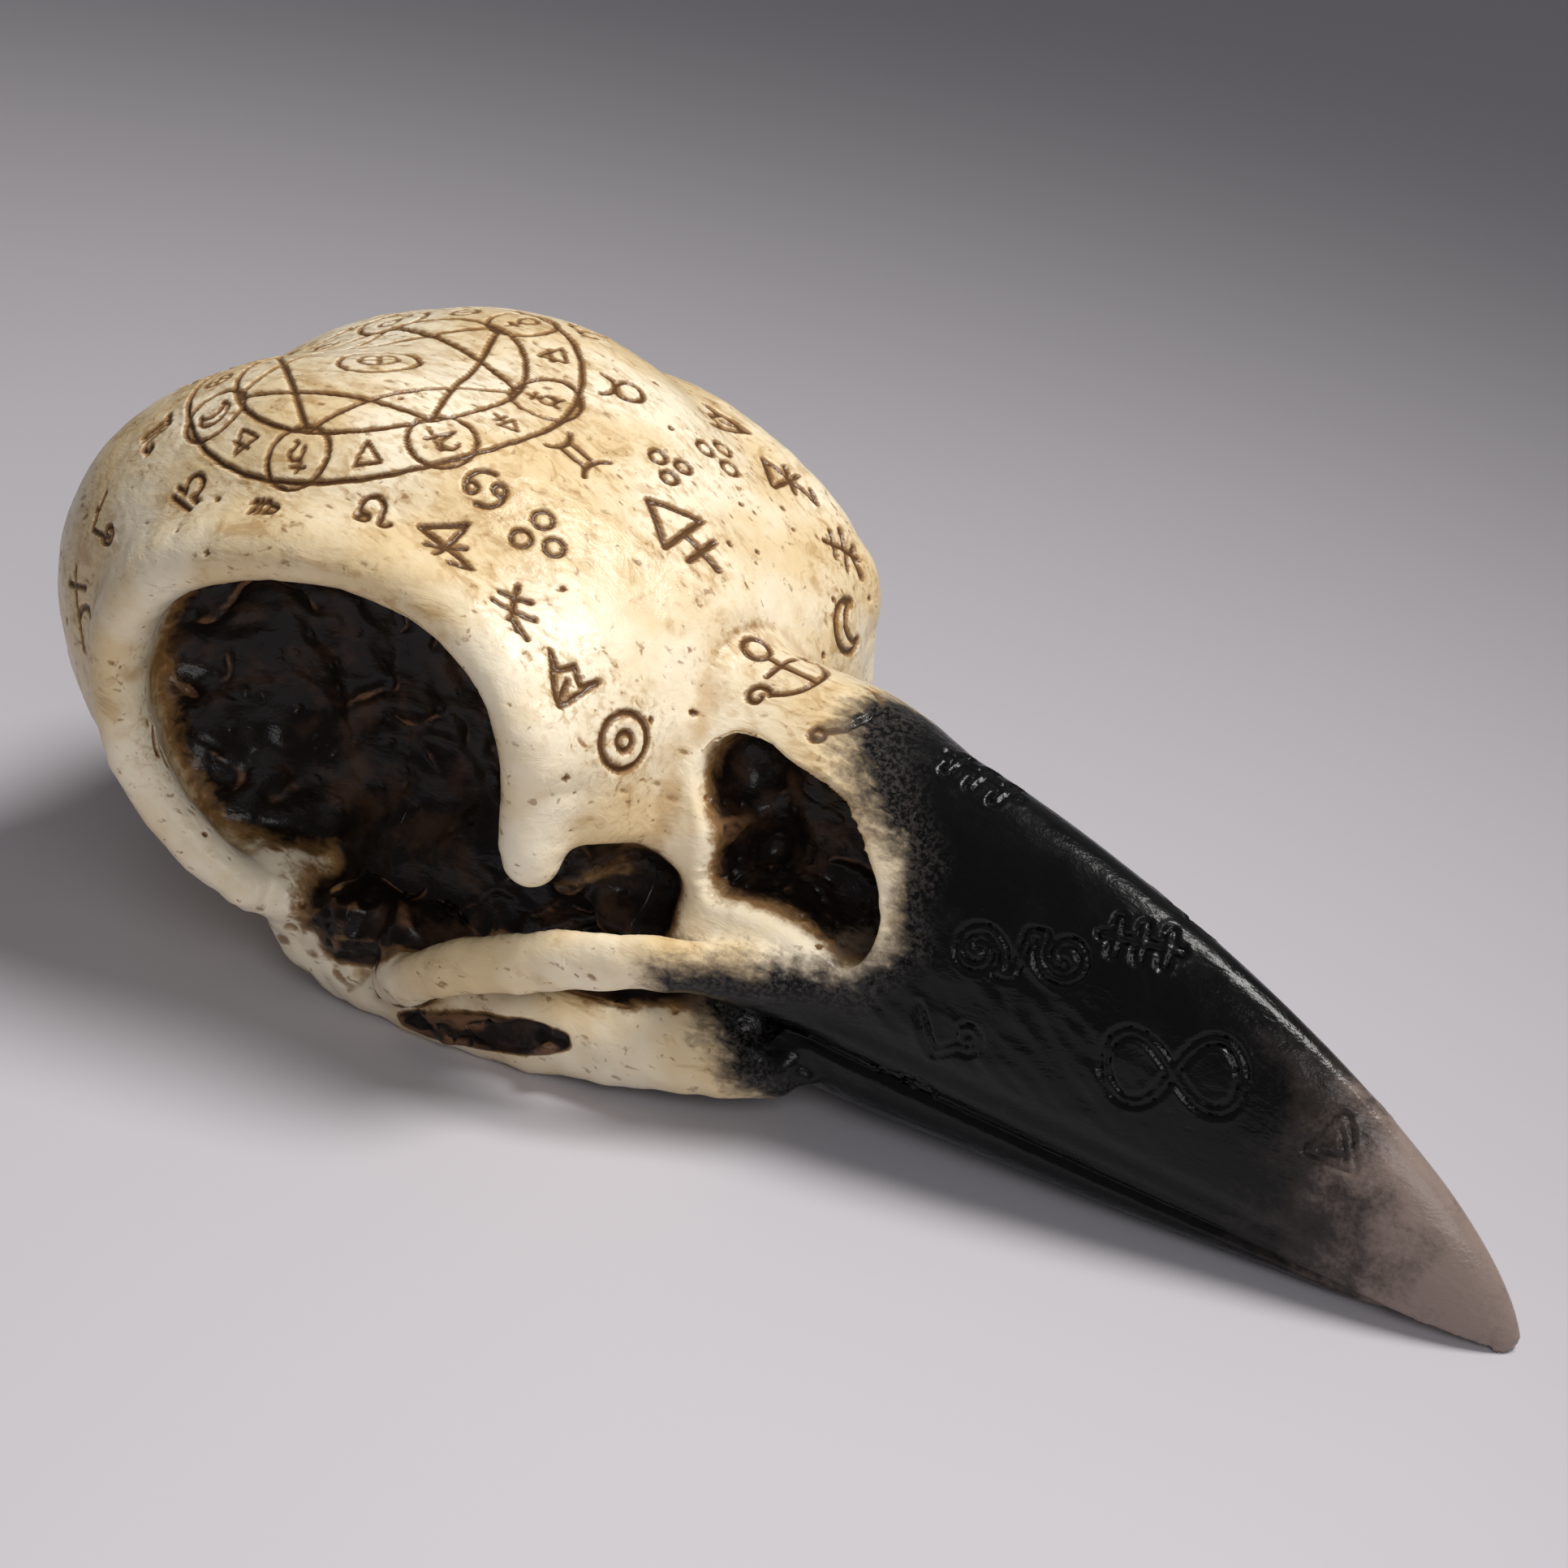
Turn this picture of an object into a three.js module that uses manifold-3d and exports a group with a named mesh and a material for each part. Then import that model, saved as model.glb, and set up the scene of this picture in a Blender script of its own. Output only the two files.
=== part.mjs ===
// A cast-resin crow skull ornament, lying on its lower jaw with the bill along +X.
// Millimetres. +X runs from the back of the head to the tip of the bill, +Y is the
// skull's own left and +Z is up. The origin is on the table, at the middle of the
// bounding box.
import * as THREE from "three";
import { mergeVertices } from "three/addons/utils/BufferGeometryUtils.js";
import Module from "manifold-3d";

const wasm = await Module();
wasm.setup();
const { Manifold, Mesh: SolidMesh } = wasm;

// ---------------------------------------------------------------- driving dimensions

const SEAM = 0.3; // gap left between neighbouring pieces
const END_ROUNDING = 12; // the higher, the blunter the ends of the rods
const HALF_SPAN = 60; // half the length of the walls that part the skull
const SIDES = [
  ["right", -1],
  ["left", 1],
];

// line that the cross sections of the skull are centred on; the sections gather towards its ends
const SPINE = {
  backX: -16,
  backZ: 54,
  faceX: 84,
  faceZ: 46,
  tipX: 212,
  tipZ: 5,
  rings: 39,
  around: 30,
  gather: 0.55,
};

// the rounded masses that are blended into one skin
const BRAINCASE = {
  x: 27.5,
  z: 56,
  apart: 12.5,
  length: 48.5,
  width: 29.5,
  height: 37,
  pitch: 15, // how far the rear is tipped down, in degrees
  square: 2.2,
  blend: 4,
};
const FOREHEAD = { x: 62, z: 53, length: 33, width: 30, height: 29, square: 2, blend: 16 };
const BROW = { x: 57, y: 22.5, z: 51.5, length: 33.5, width: 15.5, height: 26, square: 2.4, blend: 8 };
const BILL_BASE = { x: 104, z: 42.5, length: 24, width: 17.5, height: 18.5, square: 2, blend: 6 };

const BILL = {
  baseX: 80,
  tipX: 212,
  baseTop: 65,
  baseBottom: 25,
  tipZ: 3.6,
  overhang: 1.6, // how far the tip hangs below the biting edge
  halfWidth: 21,
  culmenCurve: 1.65,
  culmenFullness: 0.64,
  taper: 1.3,
  sideFullness: 0.8,
  edgeCurve: 0.95, // below 1 the biting edge is a little arched
  widestAt: 0.22, // share of the bill's height at which it is widest
  roundness: 1.8,
  undersideRoundness: 2.6,
  blend: 6,
};

// hollows, cut on both sides; facets are counted around and from pole to pole
const SOCKET = {
  x: 51,
  y: 43,
  z: 48,
  length: 35.5,
  width: 27,
  height: 30.5,
  square: 2.3,
  rise: -6,
  turn: -7,
  tilt: 6,
  facets: [26, 16],
};
const UNDER_SOCKET = { x: 61, y: 41, z: 27, length: 36, width: 24, height: 16, facets: [18, 10] };
const ANTORBITAL = { x: 88, y: 34, z: 35, length: 11.5, width: 20, height: 9.5, facets: [14, 10] };
const NARES = { x: 109.5, y: 25, z: 45, length: 15.5, width: 20, height: 14, square: 2.8, facets: [20, 12] };

// rounded edge round the eye socket, and the lacrimal knob it ends in
const RIM = { radius: 3.6, from: 6, to: 226, steps: 20, sides: 8 };
const LACRIMAL = { topRadius: 3.4, knobRadius: 5, x: 82, y: 34, z: 40.5, overlap: 14, steps: 7, sides: 10 };

// struts and jaw: each runs through a few points, given as [x, y, z] on the left side
const JUGAL_BAR = {
  path: [
    [50, 31, 10.5],
    [57, 33, 13],
    [70, 33.5, 19.5],
    [86, 30.5, 26.5],
    [107, 23.5, 28],
  ],
  halfThick: 2.1,
  halfHigh: 3.6,
  endHigh: 0.72, // share of that height at its ends
  steps: 14,
  sides: 8,
};
const JAW = {
  path: [
    [27, 29.5, 17],
    [34, 28.5, 12],
    [48, 27, 9.2],
    [62, 26.5, 9.6],
    [80, 25, 11],
    [96, 21.5, 12.4],
    [114, 15.5, 12.5],
  ],
  halfThick: 3.3,
  halfHigh: 6.2,
  endHigh: 0.6,
  deepestAt: 0.42, // share of its length at which it is deepest
  steps: 16,
  sides: 10,
};
const JAW_SLOT = { x: 67, y: 31, z: 9.6, length: 17, width: 3.8, height: 1.7, rise: -13, facets: [10, 6] };
const QUADRATE = {
  path: [
    [24, 30, 22],
    [34, 28.5, 19],
    [46, 27, 18],
    [60, 24, 16.5],
  ],
  halfThick: 5.2,
  knuckles: 3,
  knuckleRise: 0.2,
  steps: 13,
  sides: 9,
};
const LOWER_BILL = {
  fromX: 109,
  toX: 203,
  slimmer: 0.97,
  deep: 13,
  thin: 2.2,
  bluntness: 0.97,
  square: 0.8,
  rings: 13,
  around: 10,
};
const PALATE = {
  fromX: 34,
  toX: 108.4,
  z: 16.5,
  rearRise: 4,
  rearHalfWide: 10,
  halfWide: 19,
  widestFrom: 0.6,
  halfHigh: 7.5,
  steps: 9,
  sides: 12,
};
const FORAMEN = { angle: 212, radius: 6.5 }; // angles are counted from +X, up over the crown
const CONDYLE = { angle: 224, radius: 3.4 };
const REST = { pitch: -0.3, flat: 0.6 }; // the skull tips on to its beak, then its low points are ground flat

// lines along which the skin is parted, seen from the side, as [x, z]
const BRAIN_SEAM = [
  [46, 110],
  [42, 50],
  [30, 5],
];
const FACE_SEAM = [
  [97, 80],
  [91, 60],
  [84, 5],
];
const SHEATH_EDGE = [
  [117, 80],
  [119, 62],
  [125, 54],
  [129, 46],
  [127.5, 36],
  [118, 31.5],
  [106, 31.2],
  [102.5, 26],
  [106, 10],
];

// ---------------------------------------------------------------- shape of the skin

function blendUnion(a, b, k) {
  const h = Math.max(k - Math.abs(a - b), 0) / k;
  return Math.min(a, b) - (h * h * k) / 4;
}

// Signed distance, near enough, to an ellipsoid; `square` above 2 makes it boxier.
function roundedField(p, y, m) {
  const pitch = THREE.MathUtils.degToRad(m.pitch ?? 0);
  const x = (p.x - m.x) * Math.cos(pitch) + (p.z - m.z) * Math.sin(pitch);
  const z = (p.z - m.z) * Math.cos(pitch) - (p.x - m.x) * Math.sin(pitch);
  const at = [x, p.y - y, z];
  const half = [m.length, m.width, m.height];
  let sum = 0;
  let steep = 0;
  for (let i = 0; i < 3; i++) {
    const share = Math.abs(at[i]) / half[i];
    sum += share ** m.square;
    steep += (share ** (m.square - 1) / half[i]) ** 2;
  }
  const r = sum ** (1 / m.square);
  return r < 1e-6 ? -Math.min(...half) : (r - 1) / (Math.sqrt(steep) * r ** (1 - m.square));
}

function alongBill(x) {
  return THREE.MathUtils.clamp((x - BILL.baseX) / (BILL.tipX - BILL.baseX), 0, 1);
}

// Height of the line where the upper bill meets the lower one.
function bitingEdge(x) {
  return BILL.tipZ - BILL.overhang + (BILL.baseBottom - BILL.tipZ) * (1 - alongBill(x)) ** BILL.edgeCurve;
}

function billHalfWidth(x) {
  const s = alongBill(x);
  return Math.max(BILL.halfWidth * (1 - s ** BILL.taper) ** BILL.sideFullness, SEAM);
}

function billField(p) {
  const s = alongBill(p.x);
  const full = (1 - s ** BILL.culmenCurve) ** BILL.culmenFullness;
  const top = BILL.tipZ + (BILL.baseTop - BILL.tipZ) * full;
  const bottom = bitingEdge(p.x);
  const half = billHalfWidth(p.x);
  const wide = bottom + (top - bottom) * BILL.widestAt;
  const upper = p.z > wide;
  const rise = Math.abs(p.z - wide) / Math.max(upper ? top - wide : wide - bottom, SEAM);
  const n = upper ? BILL.roundness : BILL.undersideRoundness;
  const r = (Math.abs(p.y / half) ** n + rise ** n) ** (1 / n);
  const d = (r - 1) * Math.min(half, (top - bottom) / 2);
  return Math.max(d, BILL.baseX - p.x, p.x - BILL.tipX);
}

function skullField(p) {
  let d = roundedField(p, BRAINCASE.apart, BRAINCASE);
  d = blendUnion(d, roundedField(p, -BRAINCASE.apart, BRAINCASE), BRAINCASE.blend);
  d = blendUnion(d, roundedField(p, 0, FOREHEAD), FOREHEAD.blend);
  d = blendUnion(d, roundedField(p, BROW.y, BROW), BROW.blend);
  d = blendUnion(d, roundedField(p, -BROW.y, BROW), BROW.blend);
  d = blendUnion(d, roundedField(p, 0, BILL_BASE), BILL_BASE.blend);
  return blendUnion(d, billField(p), BILL.blend);
}

// ---------------------------------------------------------------- shape helpers

// Joins rings of points, with a point at each end, into one closed surface.
function skinOver(firstEnd, rings, lastEnd) {
  const count = rings[0].length;
  const corners = [firstEnd, ...rings.flat(), lastEnd];
  const positions = corners.flatMap((corner) => [corner.x, corner.y, corner.z]);
  const at = (ring, j) => 1 + ring * count + (j % count);
  const last = corners.length - 1;
  const indices = [];
  for (let j = 0; j < count; j++) {
    indices.push(0, at(0, j + 1), at(0, j));
    indices.push(last, at(rings.length - 1, j), at(rings.length - 1, j + 1));
    for (let i = 0; i < rings.length - 1; i++) {
      indices.push(at(i, j), at(i, j + 1), at(i + 1, j));
      indices.push(at(i, j + 1), at(i + 1, j + 1), at(i + 1, j));
    }
  }
  const geometry = new THREE.BufferGeometry();
  geometry.setAttribute("position", new THREE.Float32BufferAttribute(positions, 3));
  geometry.setIndex(indices);
  return solid(geometry);
}

function solid(geometry) {
  const bare = geometry.clone();
  for (const name of Object.keys(bare.attributes)) {
    if (name !== "position") bare.deleteAttribute(name);
  }
  const merged = mergeVertices(bare, 1e-4);
  const made = new Manifold(
    new SolidMesh({
      numProp: 3,
      vertProperties: merged.attributes.position.array,
      triVerts: new Uint32Array(merged.index.array),
    }),
  );
  if (made.volume() < 0) throw new Error("a surface is inside out");
  return made;
}

function spineHeight(x) {
  const s = SPINE;
  return x < s.faceX
    ? THREE.MathUtils.mapLinear(x, s.backX, s.faceX, s.backZ, s.faceZ)
    : THREE.MathUtils.mapLinear(x, s.faceX, s.tipX, s.faceZ, s.tipZ);
}

// How far along a ray the field turns from inside to outside.
function firstOutside(field, at) {
  const stride = 1.5;
  let near = 0;
  while (field(at(near + stride)) < 0) near += stride;
  let far = near + stride;
  for (let i = 0; i < 20; i++) {
    const middle = (near + far) / 2;
    if (field(at(middle)) > 0) far = middle;
    else near = middle;
  }
  return near;
}

// The skull's outer skin, `grown` outwards by a little if asked.
function skullSkin(grown) {
  const field = (p) => skullField(p) - grown;
  const spinePoint = (x) => new THREE.Vector3(x, 0, spineHeight(x));
  const back = BRAINCASE.x - firstOutside(field, (t) => spinePoint(BRAINCASE.x - t));
  const front = BILL_BASE.x + firstOutside(field, (t) => spinePoint(BILL_BASE.x + t));
  const rings = [];
  for (let i = 1; i < SPINE.rings; i++) {
    const u = i / SPINE.rings;
    const gathered = u < 0.5 ? 2 * u * u : 1 - 2 * (1 - u) ** 2;
    const share = THREE.MathUtils.lerp(u, gathered, SPINE.gather);
    const centre = spinePoint(THREE.MathUtils.lerp(back, front, share));
    const ring = [];
    for (let j = 0; j < SPINE.around; j++) {
      const angle = (j / SPINE.around) * 2 * Math.PI;
      const way = new THREE.Vector3(0, Math.cos(angle), Math.sin(angle));
      const reach = firstOutside(field, (t) => centre.clone().addScaledVector(way, t));
      ring.push(centre.clone().addScaledVector(way, reach));
    }
    rings.push(ring);
  }
  return skinOver(spinePoint(back), rings, spinePoint(front));
}

// A closed rod through the given points; its half sizes follow t, from 0 to 1.
function rod(points, halfThick, halfHigh, steps, sides) {
  const curve = new THREE.CatmullRomCurve3(points, false, "centripetal");
  const rings = [];
  for (let i = 1; i < steps; i++) {
    const t = i / steps;
    const centre = curve.getPointAt(t);
    const along = curve.getTangentAt(t);
    const rise = new THREE.Vector3().crossVectors(along, new THREE.Vector3(0, 1, 0)).normalize();
    const across = new THREE.Vector3().crossVectors(rise, along);
    const ring = [];
    for (let j = 0; j < sides; j++) {
      const angle = (j / sides) * 2 * Math.PI;
      const out = across.clone().multiplyScalar(Math.cos(angle) * halfThick(t));
      ring.push(centre.clone().add(out).addScaledVector(rise, Math.sin(angle) * halfHigh(t)));
    }
    rings.push(ring);
  }
  return skinOver(curve.getPointAt(0), rings, curve.getPointAt(1));
}

function roundEnds(t) {
  return Math.sqrt(1 - Math.abs(2 * t - 1) ** END_ROUNDING);
}

function onSide(points, side) {
  return points.map(([x, y, z]) => new THREE.Vector3(x, side * y, z));
}

// Moves a point of the unit sphere onto a boxier one; `square` of 2 leaves it where it is.
function boxed(v, square) {
  const size = Math.abs(v.x) ** square + Math.abs(v.y) ** square + Math.abs(v.z) ** square;
  return v.divideScalar(size ** (1 / square));
}

// The ellipsoid that cuts a hollow on one side of the skull.
function hollow(m, side) {
  const g = new THREE.SphereGeometry(1, ...m.facets);
  const corners = g.attributes.position;
  for (let i = 0; i < corners.count; i++) {
    const corner = boxed(new THREE.Vector3().fromBufferAttribute(corners, i), m.square ?? 2);
    corners.setXYZ(i, corner.x, corner.y, corner.z);
  }
  g.scale(m.length, m.width, m.height);
  g.rotateY(THREE.MathUtils.degToRad(m.rise ?? 0));
  g.rotateX(THREE.MathUtils.degToRad(side * (m.tilt ?? 0)));
  g.rotateZ(THREE.MathUtils.degToRad(side * (m.turn ?? 0)));
  g.translate(m.x, side * m.y, m.z);
  return solid(g);
}

// A thin wall right across the skull, along a line given in the side view as [x, z].
function seamWall(line) {
  const points = line.map(([x, z]) => new THREE.Vector2(x, z));
  const offset = (point, i, away) => {
    const before = points[Math.max(i - 1, 0)];
    const after = points[Math.min(i + 1, points.length - 1)];
    const along = after.clone().sub(before).normalize();
    return new THREE.Vector2(point.x - along.y * away, point.y + along.x * away);
  };
  const near = points.map((point, i) => offset(point, i, SEAM / 2));
  const far = points.map((point, i) => offset(point, i, -SEAM / 2));
  const shape = new THREE.Shape([...near, ...far.reverse()]);
  const g = new THREE.ExtrudeGeometry(shape, { depth: 2 * HALF_SPAN, bevelEnabled: false });
  g.translate(0, 0, -HALF_SPAN);
  g.rotateX(Math.PI / 2);
  return solid(g);
}

// ---------------------------------------------------------------- pieces

// A ball on the middle line, centred in the skin of the back of the head.
function ballInSkin({ angle, radius }) {
  const turn = THREE.MathUtils.degToRad(angle);
  const way = new THREE.Vector3(Math.cos(turn), 0, Math.sin(turn));
  const centre = new THREE.Vector3(BRAINCASE.x, 0, BRAINCASE.z);
  const reach = firstOutside(skullField, (t) => centre.clone().addScaledVector(way, t));
  centre.addScaledVector(way, reach);
  return solid(new THREE.SphereGeometry(radius, 14, 9).translate(centre.x, 0, centre.z));
}

// A point of the socket's edge, where its ellipsoid comes out through the skin.
function rimPoint(side, degrees) {
  const s = SOCKET;
  const angle = THREE.MathUtils.degToRad(degrees);
  const point = (t) => {
    const ring = new THREE.Vector3(Math.cos(angle), 0, Math.sin(angle));
    const v = ring.multiplyScalar(Math.sin(t)).setY(-side * Math.cos(t));
    boxed(v, s.square).multiply(new THREE.Vector3(s.length, s.width, s.height));
    v.applyAxisAngle(new THREE.Vector3(0, 1, 0), THREE.MathUtils.degToRad(s.rise));
    v.applyAxisAngle(new THREE.Vector3(1, 0, 0), THREE.MathUtils.degToRad(side * s.tilt));
    v.applyAxisAngle(new THREE.Vector3(0, 0, 1), THREE.MathUtils.degToRad(side * s.turn));
    return v.add(new THREE.Vector3(s.x, side * s.y, s.z));
  };
  let inner = 0;
  let outer = Math.PI;
  for (let i = 0; i < 30; i++) {
    const middle = (inner + outer) / 2;
    if (skullField(point(middle)) > 0) outer = middle;
    else inner = middle;
  }
  return point(inner);
}

function orbitRim(side, grown) {
  const points = [];
  for (let i = 0; i <= RIM.steps; i++) {
    points.push(rimPoint(side, THREE.MathUtils.lerp(RIM.from, RIM.to, i / RIM.steps)));
  }
  const thick = (t) => RIM.radius * roundEnds(t) + grown;
  return rod(points, thick, thick, RIM.steps, RIM.sides);
}

function lacrimal(side, grown) {
  const m = LACRIMAL;
  const top = rimPoint(side, RIM.from + m.overlap);
  const [knob] = onSide([[m.x, m.y, m.z]], side);
  const shoulder = knob.clone().setZ((top.z + m.z) / 2);
  const thick = (t) => THREE.MathUtils.lerp(m.topRadius, m.knobRadius, t * t) * Math.sqrt(1 - t ** 8) + grown;
  return rod([top, shoulder, knob], thick, thick, m.steps, m.sides);
}

function jugalBar(side, grown) {
  const m = JUGAL_BAR;
  const thick = (t) => m.halfThick * roundEnds(t) + grown;
  const share = (t) => THREE.MathUtils.lerp(m.endHigh, 1, Math.sin(Math.PI * t));
  const high = (t) => m.halfHigh * roundEnds(t) * share(t) + grown;
  return rod(onSide(m.path, side), thick, high, m.steps, m.sides);
}

function jaw(side, grown) {
  const m = JAW;
  const thick = (t) => m.halfThick * roundEnds(t) + grown;
  const depth = (t) => Math.sin((Math.PI / 2) * Math.min(t / m.deepestAt, (1 - t) / (1 - m.deepestAt)));
  const high = (t) => m.halfHigh * roundEnds(t) * THREE.MathUtils.lerp(m.endHigh, 1, depth(t)) + grown;
  return rod(onSide(m.path, side), thick, high, m.steps, m.sides);
}

function quadrate(side, grown) {
  const m = QUADRATE;
  const swell = (t) => 1 - m.knuckleRise * (1 + Math.cos(2 * Math.PI * m.knuckles * t)) * 0.5;
  const thick = (t) => m.halfThick * roundEnds(t) * swell(t) + grown;
  return rod(onSide(m.path, side), thick, thick, m.steps, m.sides);
}

function palate() {
  const m = PALATE;
  const points = [
    [m.fromX, 0, m.z + m.rearRise],
    [(m.fromX + m.toX) / 2, 0, m.z],
    [m.toX, 0, m.z],
  ];
  const spread = (t) => THREE.MathUtils.smoothstep(t, 0, m.widestFrom);
  const wide = (t) => THREE.MathUtils.lerp(m.rearHalfWide, m.halfWide, spread(t)) * roundEnds(t);
  const high = (t) => m.halfHigh * roundEnds(t);
  return rod(onSide(points, 1), wide, high, m.steps, m.sides);
}

function lowerBill() {
  const m = LOWER_BILL;
  const rings = [];
  for (let i = 0; i <= m.rings; i++) {
    const t = i / m.rings;
    const x = THREE.MathUtils.lerp(m.fromX, m.toX, t);
    const top = bitingEdge(x) - SEAM;
    const half = billHalfWidth(x) * m.slimmer;
    const deep = THREE.MathUtils.lerp(m.deep, m.thin, t) * Math.sqrt(1 - (m.bluntness * t) ** 6);
    const ring = [];
    for (let j = 0; j < m.around; j++) {
      const angle = Math.PI * (1 + j / (m.around - 1));
      const sideways = Math.sign(Math.cos(angle)) * Math.abs(Math.cos(angle)) ** m.square;
      ring.push(new THREE.Vector3(x, half * sideways, top + deep * Math.sin(angle)));
    }
    rings.push(ring);
  }
  const middle = (x, drop) => new THREE.Vector3(x, 0, bitingEdge(x) - SEAM - drop);
  return skinOver(middle(m.fromX, m.deep / 2), rings, middle(m.toX, m.thin / 4));
}

// ---------------------------------------------------------------- the parted skull

const hollows = SIDES.flatMap(([, side]) =>
  [SOCKET, UNDER_SOCKET, ANTORBITAL, NARES].map((m) => hollow(m, side)),
);
const edgeParts = SIDES.flatMap(([, side]) => [orbitRim(side, SEAM), lacrimal(side, SEAM)]);
const headWithCondyle = skullSkin(0).subtract(ballInSkin(FORAMEN)).add(ballInSkin(CONDYLE));
const shell = headWithCondyle.subtract(Manifold.union([...hollows, ...edgeParts]));

const group = new THREE.Group();
const bone = { color: 0xe2d3b0, roughness: 0.3, metalness: 0 };
const horn = { color: 0x141415, roughness: 0.28, metalness: 0 };

const pieces = [];

// Keeps the largest body of what was made and tips it to the resting pitch.
function addPiece(name, made, look) {
  const bodies = made.decompose().sort((a, b) => b.volume() - a.volume());
  pieces.push({ name, made: bodies[0].rotate([0, REST.pitch, 0]), look });
}

const grownSkin = skullSkin(SEAM);
const struts = SIDES.map(([, side]) => jugalBar(side, SEAM));
const jaws = SIDES.map(([, side]) => jaw(side, SEAM));
const quadrates = SIDES.map(([, side]) => quadrate(side, SEAM));
const upper = shell.subtract(Manifold.union([...struts, ...jaws, ...quadrates]));
const seams = Manifold.union([BRAIN_SEAM, FACE_SEAM, SHEATH_EDGE].map(seamWall));
const bySize = upper.subtract(seams).decompose().sort((a, b) => b.volume() - a.volume());
const frontX = (made) => made.boundingBox().max[0];
const [braincase, forehead, nose, upperBill] = bySize.slice(0, 4).sort((a, b) => frontX(a) - frontX(b));
addPiece("braincase", braincase, bone);
addPiece("forehead", forehead, bone);
addPiece("nose", nose, bone);
addPiece("upper_bill", upperBill, horn);
for (const [name, side] of SIDES) {
  const quadrateRoom = quadrate(side, SEAM).add(jaw(side, SEAM));
  const jawRoom = jaw(side, SEAM).add(orbitRim(side, SEAM));
  addPiece(`orbit_rim_${name}`, orbitRim(side, 0).subtract(lacrimal(side, SEAM)), bone);
  addPiece(`lacrimal_${name}`, lacrimal(side, 0), bone);
  addPiece(`jugal_bar_${name}`, jugalBar(side, 0).subtract(quadrateRoom), bone);
  addPiece(`quadrate_${name}`, quadrate(side, 0).subtract(jawRoom), bone);
  addPiece(`jaw_${name}`, jaw(side, 0).subtract(hollow(JAW_SLOT, side)), bone);
}
const belowSkin = Manifold.union([grownSkin, ...struts, ...jaws, ...quadrates]);
addPiece("palate", palate().subtract(belowSkin), bone);
addPiece("lower_bill", lowerBill().subtract(belowSkin), horn);

// ---------------------------------------------------------------- at rest on the table

const boxes = pieces.map(({ made }) => made.boundingBox());
const floor = Math.min(...boxes.map((box) => box.min[2])) + REST.flat;
const back = Math.min(...boxes.map((box) => box.min[0]));
const front = Math.max(...boxes.map((box) => box.max[0]));
const middle = (back + front) / 2;
for (const { name, made, look } of pieces) {
  const m = made.trimByPlane([0, 0, 1], floor).translate([-middle, 0, -floor]).getMesh();
  const geometry = new THREE.BufferGeometry();
  geometry.setAttribute("position", new THREE.BufferAttribute(new Float32Array(m.vertProperties), 3));
  geometry.setIndex(new THREE.BufferAttribute(m.triVerts, 1));
  geometry.computeVertexNormals();
  const mesh = new THREE.Mesh(geometry, new THREE.MeshStandardMaterial(look));
  mesh.name = name;
  group.add(mesh);
}

export default group;
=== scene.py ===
import math
import time

import bpy
import numpy as np
from mathutils import Matrix, Vector, kdtree


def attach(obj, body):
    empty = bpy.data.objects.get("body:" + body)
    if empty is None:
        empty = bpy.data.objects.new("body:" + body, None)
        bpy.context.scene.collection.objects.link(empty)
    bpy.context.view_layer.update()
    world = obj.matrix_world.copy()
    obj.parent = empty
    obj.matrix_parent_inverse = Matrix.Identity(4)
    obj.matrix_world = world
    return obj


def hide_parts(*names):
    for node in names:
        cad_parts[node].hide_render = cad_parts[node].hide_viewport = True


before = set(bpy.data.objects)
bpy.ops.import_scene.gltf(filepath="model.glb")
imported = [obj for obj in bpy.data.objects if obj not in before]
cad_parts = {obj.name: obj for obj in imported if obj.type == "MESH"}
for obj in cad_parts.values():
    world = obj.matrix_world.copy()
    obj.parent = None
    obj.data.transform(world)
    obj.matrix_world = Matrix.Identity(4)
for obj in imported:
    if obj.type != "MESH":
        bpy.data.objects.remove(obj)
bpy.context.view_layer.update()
startTime = time.time()


def sayStage(text):
    print(f"{time.time() - startTime:6.1f} s  {text}")


# camera: eye and target in millimetres on the table, roll in degrees
cameraValues = {
    "eye": (264.647, -335.978, 253.778),
    "target": (1.642, -1.2, 42.668),
    "roll": 0.263,
    "fieldOfView": 25,
}

eye = Vector(cameraValues["eye"]) / 1000
lookBack = (eye - Vector(cameraValues["target"]) / 1000).normalized()
sideways = Vector((0, 0, 1)).cross(lookBack).normalized()
upwards = lookBack.cross(sideways)
roll = math.radians(cameraValues["roll"])
rolledSide = sideways * math.cos(roll) + upwards * math.sin(roll)
rolledUp = upwards * math.cos(roll) - sideways * math.sin(roll)
bpy.ops.object.camera_add(location=eye)
camera = bpy.context.object
camera.name = "studioCamera"
camera.data.sensor_width = 36
camera.data.lens = 18 / math.tan(math.radians(cameraValues["fieldOfView"] / 2))
camera.data.clip_start = 0.01
facing = Matrix((rolledSide, rolledUp, lookBack)).transposed()
camera.matrix_world = Matrix.Translation(eye) @ facing.to_4x4()
bpy.context.scene.camera = camera
sayStage("camera set")


# The casting's form is drawn in millimetres before it is tipped and centred on the table.
rest = {"pitch": -0.3, "middle": 96.5144, "floor": 4.1462}
restCos = math.cos(math.radians(rest["pitch"]))
restSin = math.sin(math.radians(rest["pitch"]))
restShift = np.array([rest["middle"], 0, rest["floor"]])


def toForm(metres):
    p = metres * 1000 + restShift
    x = p[:, 0] * restCos - p[:, 2] * restSin
    z = p[:, 0] * restSin + p[:, 2] * restCos
    return np.stack([x, p[:, 1], z], 1)


def toTable(form):
    x = form[:, 0] * restCos + form[:, 2] * restSin
    z = form[:, 2] * restCos - form[:, 0] * restSin
    return (np.stack([x, form[:, 1], z], 1) - restShift) / 1000


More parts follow.
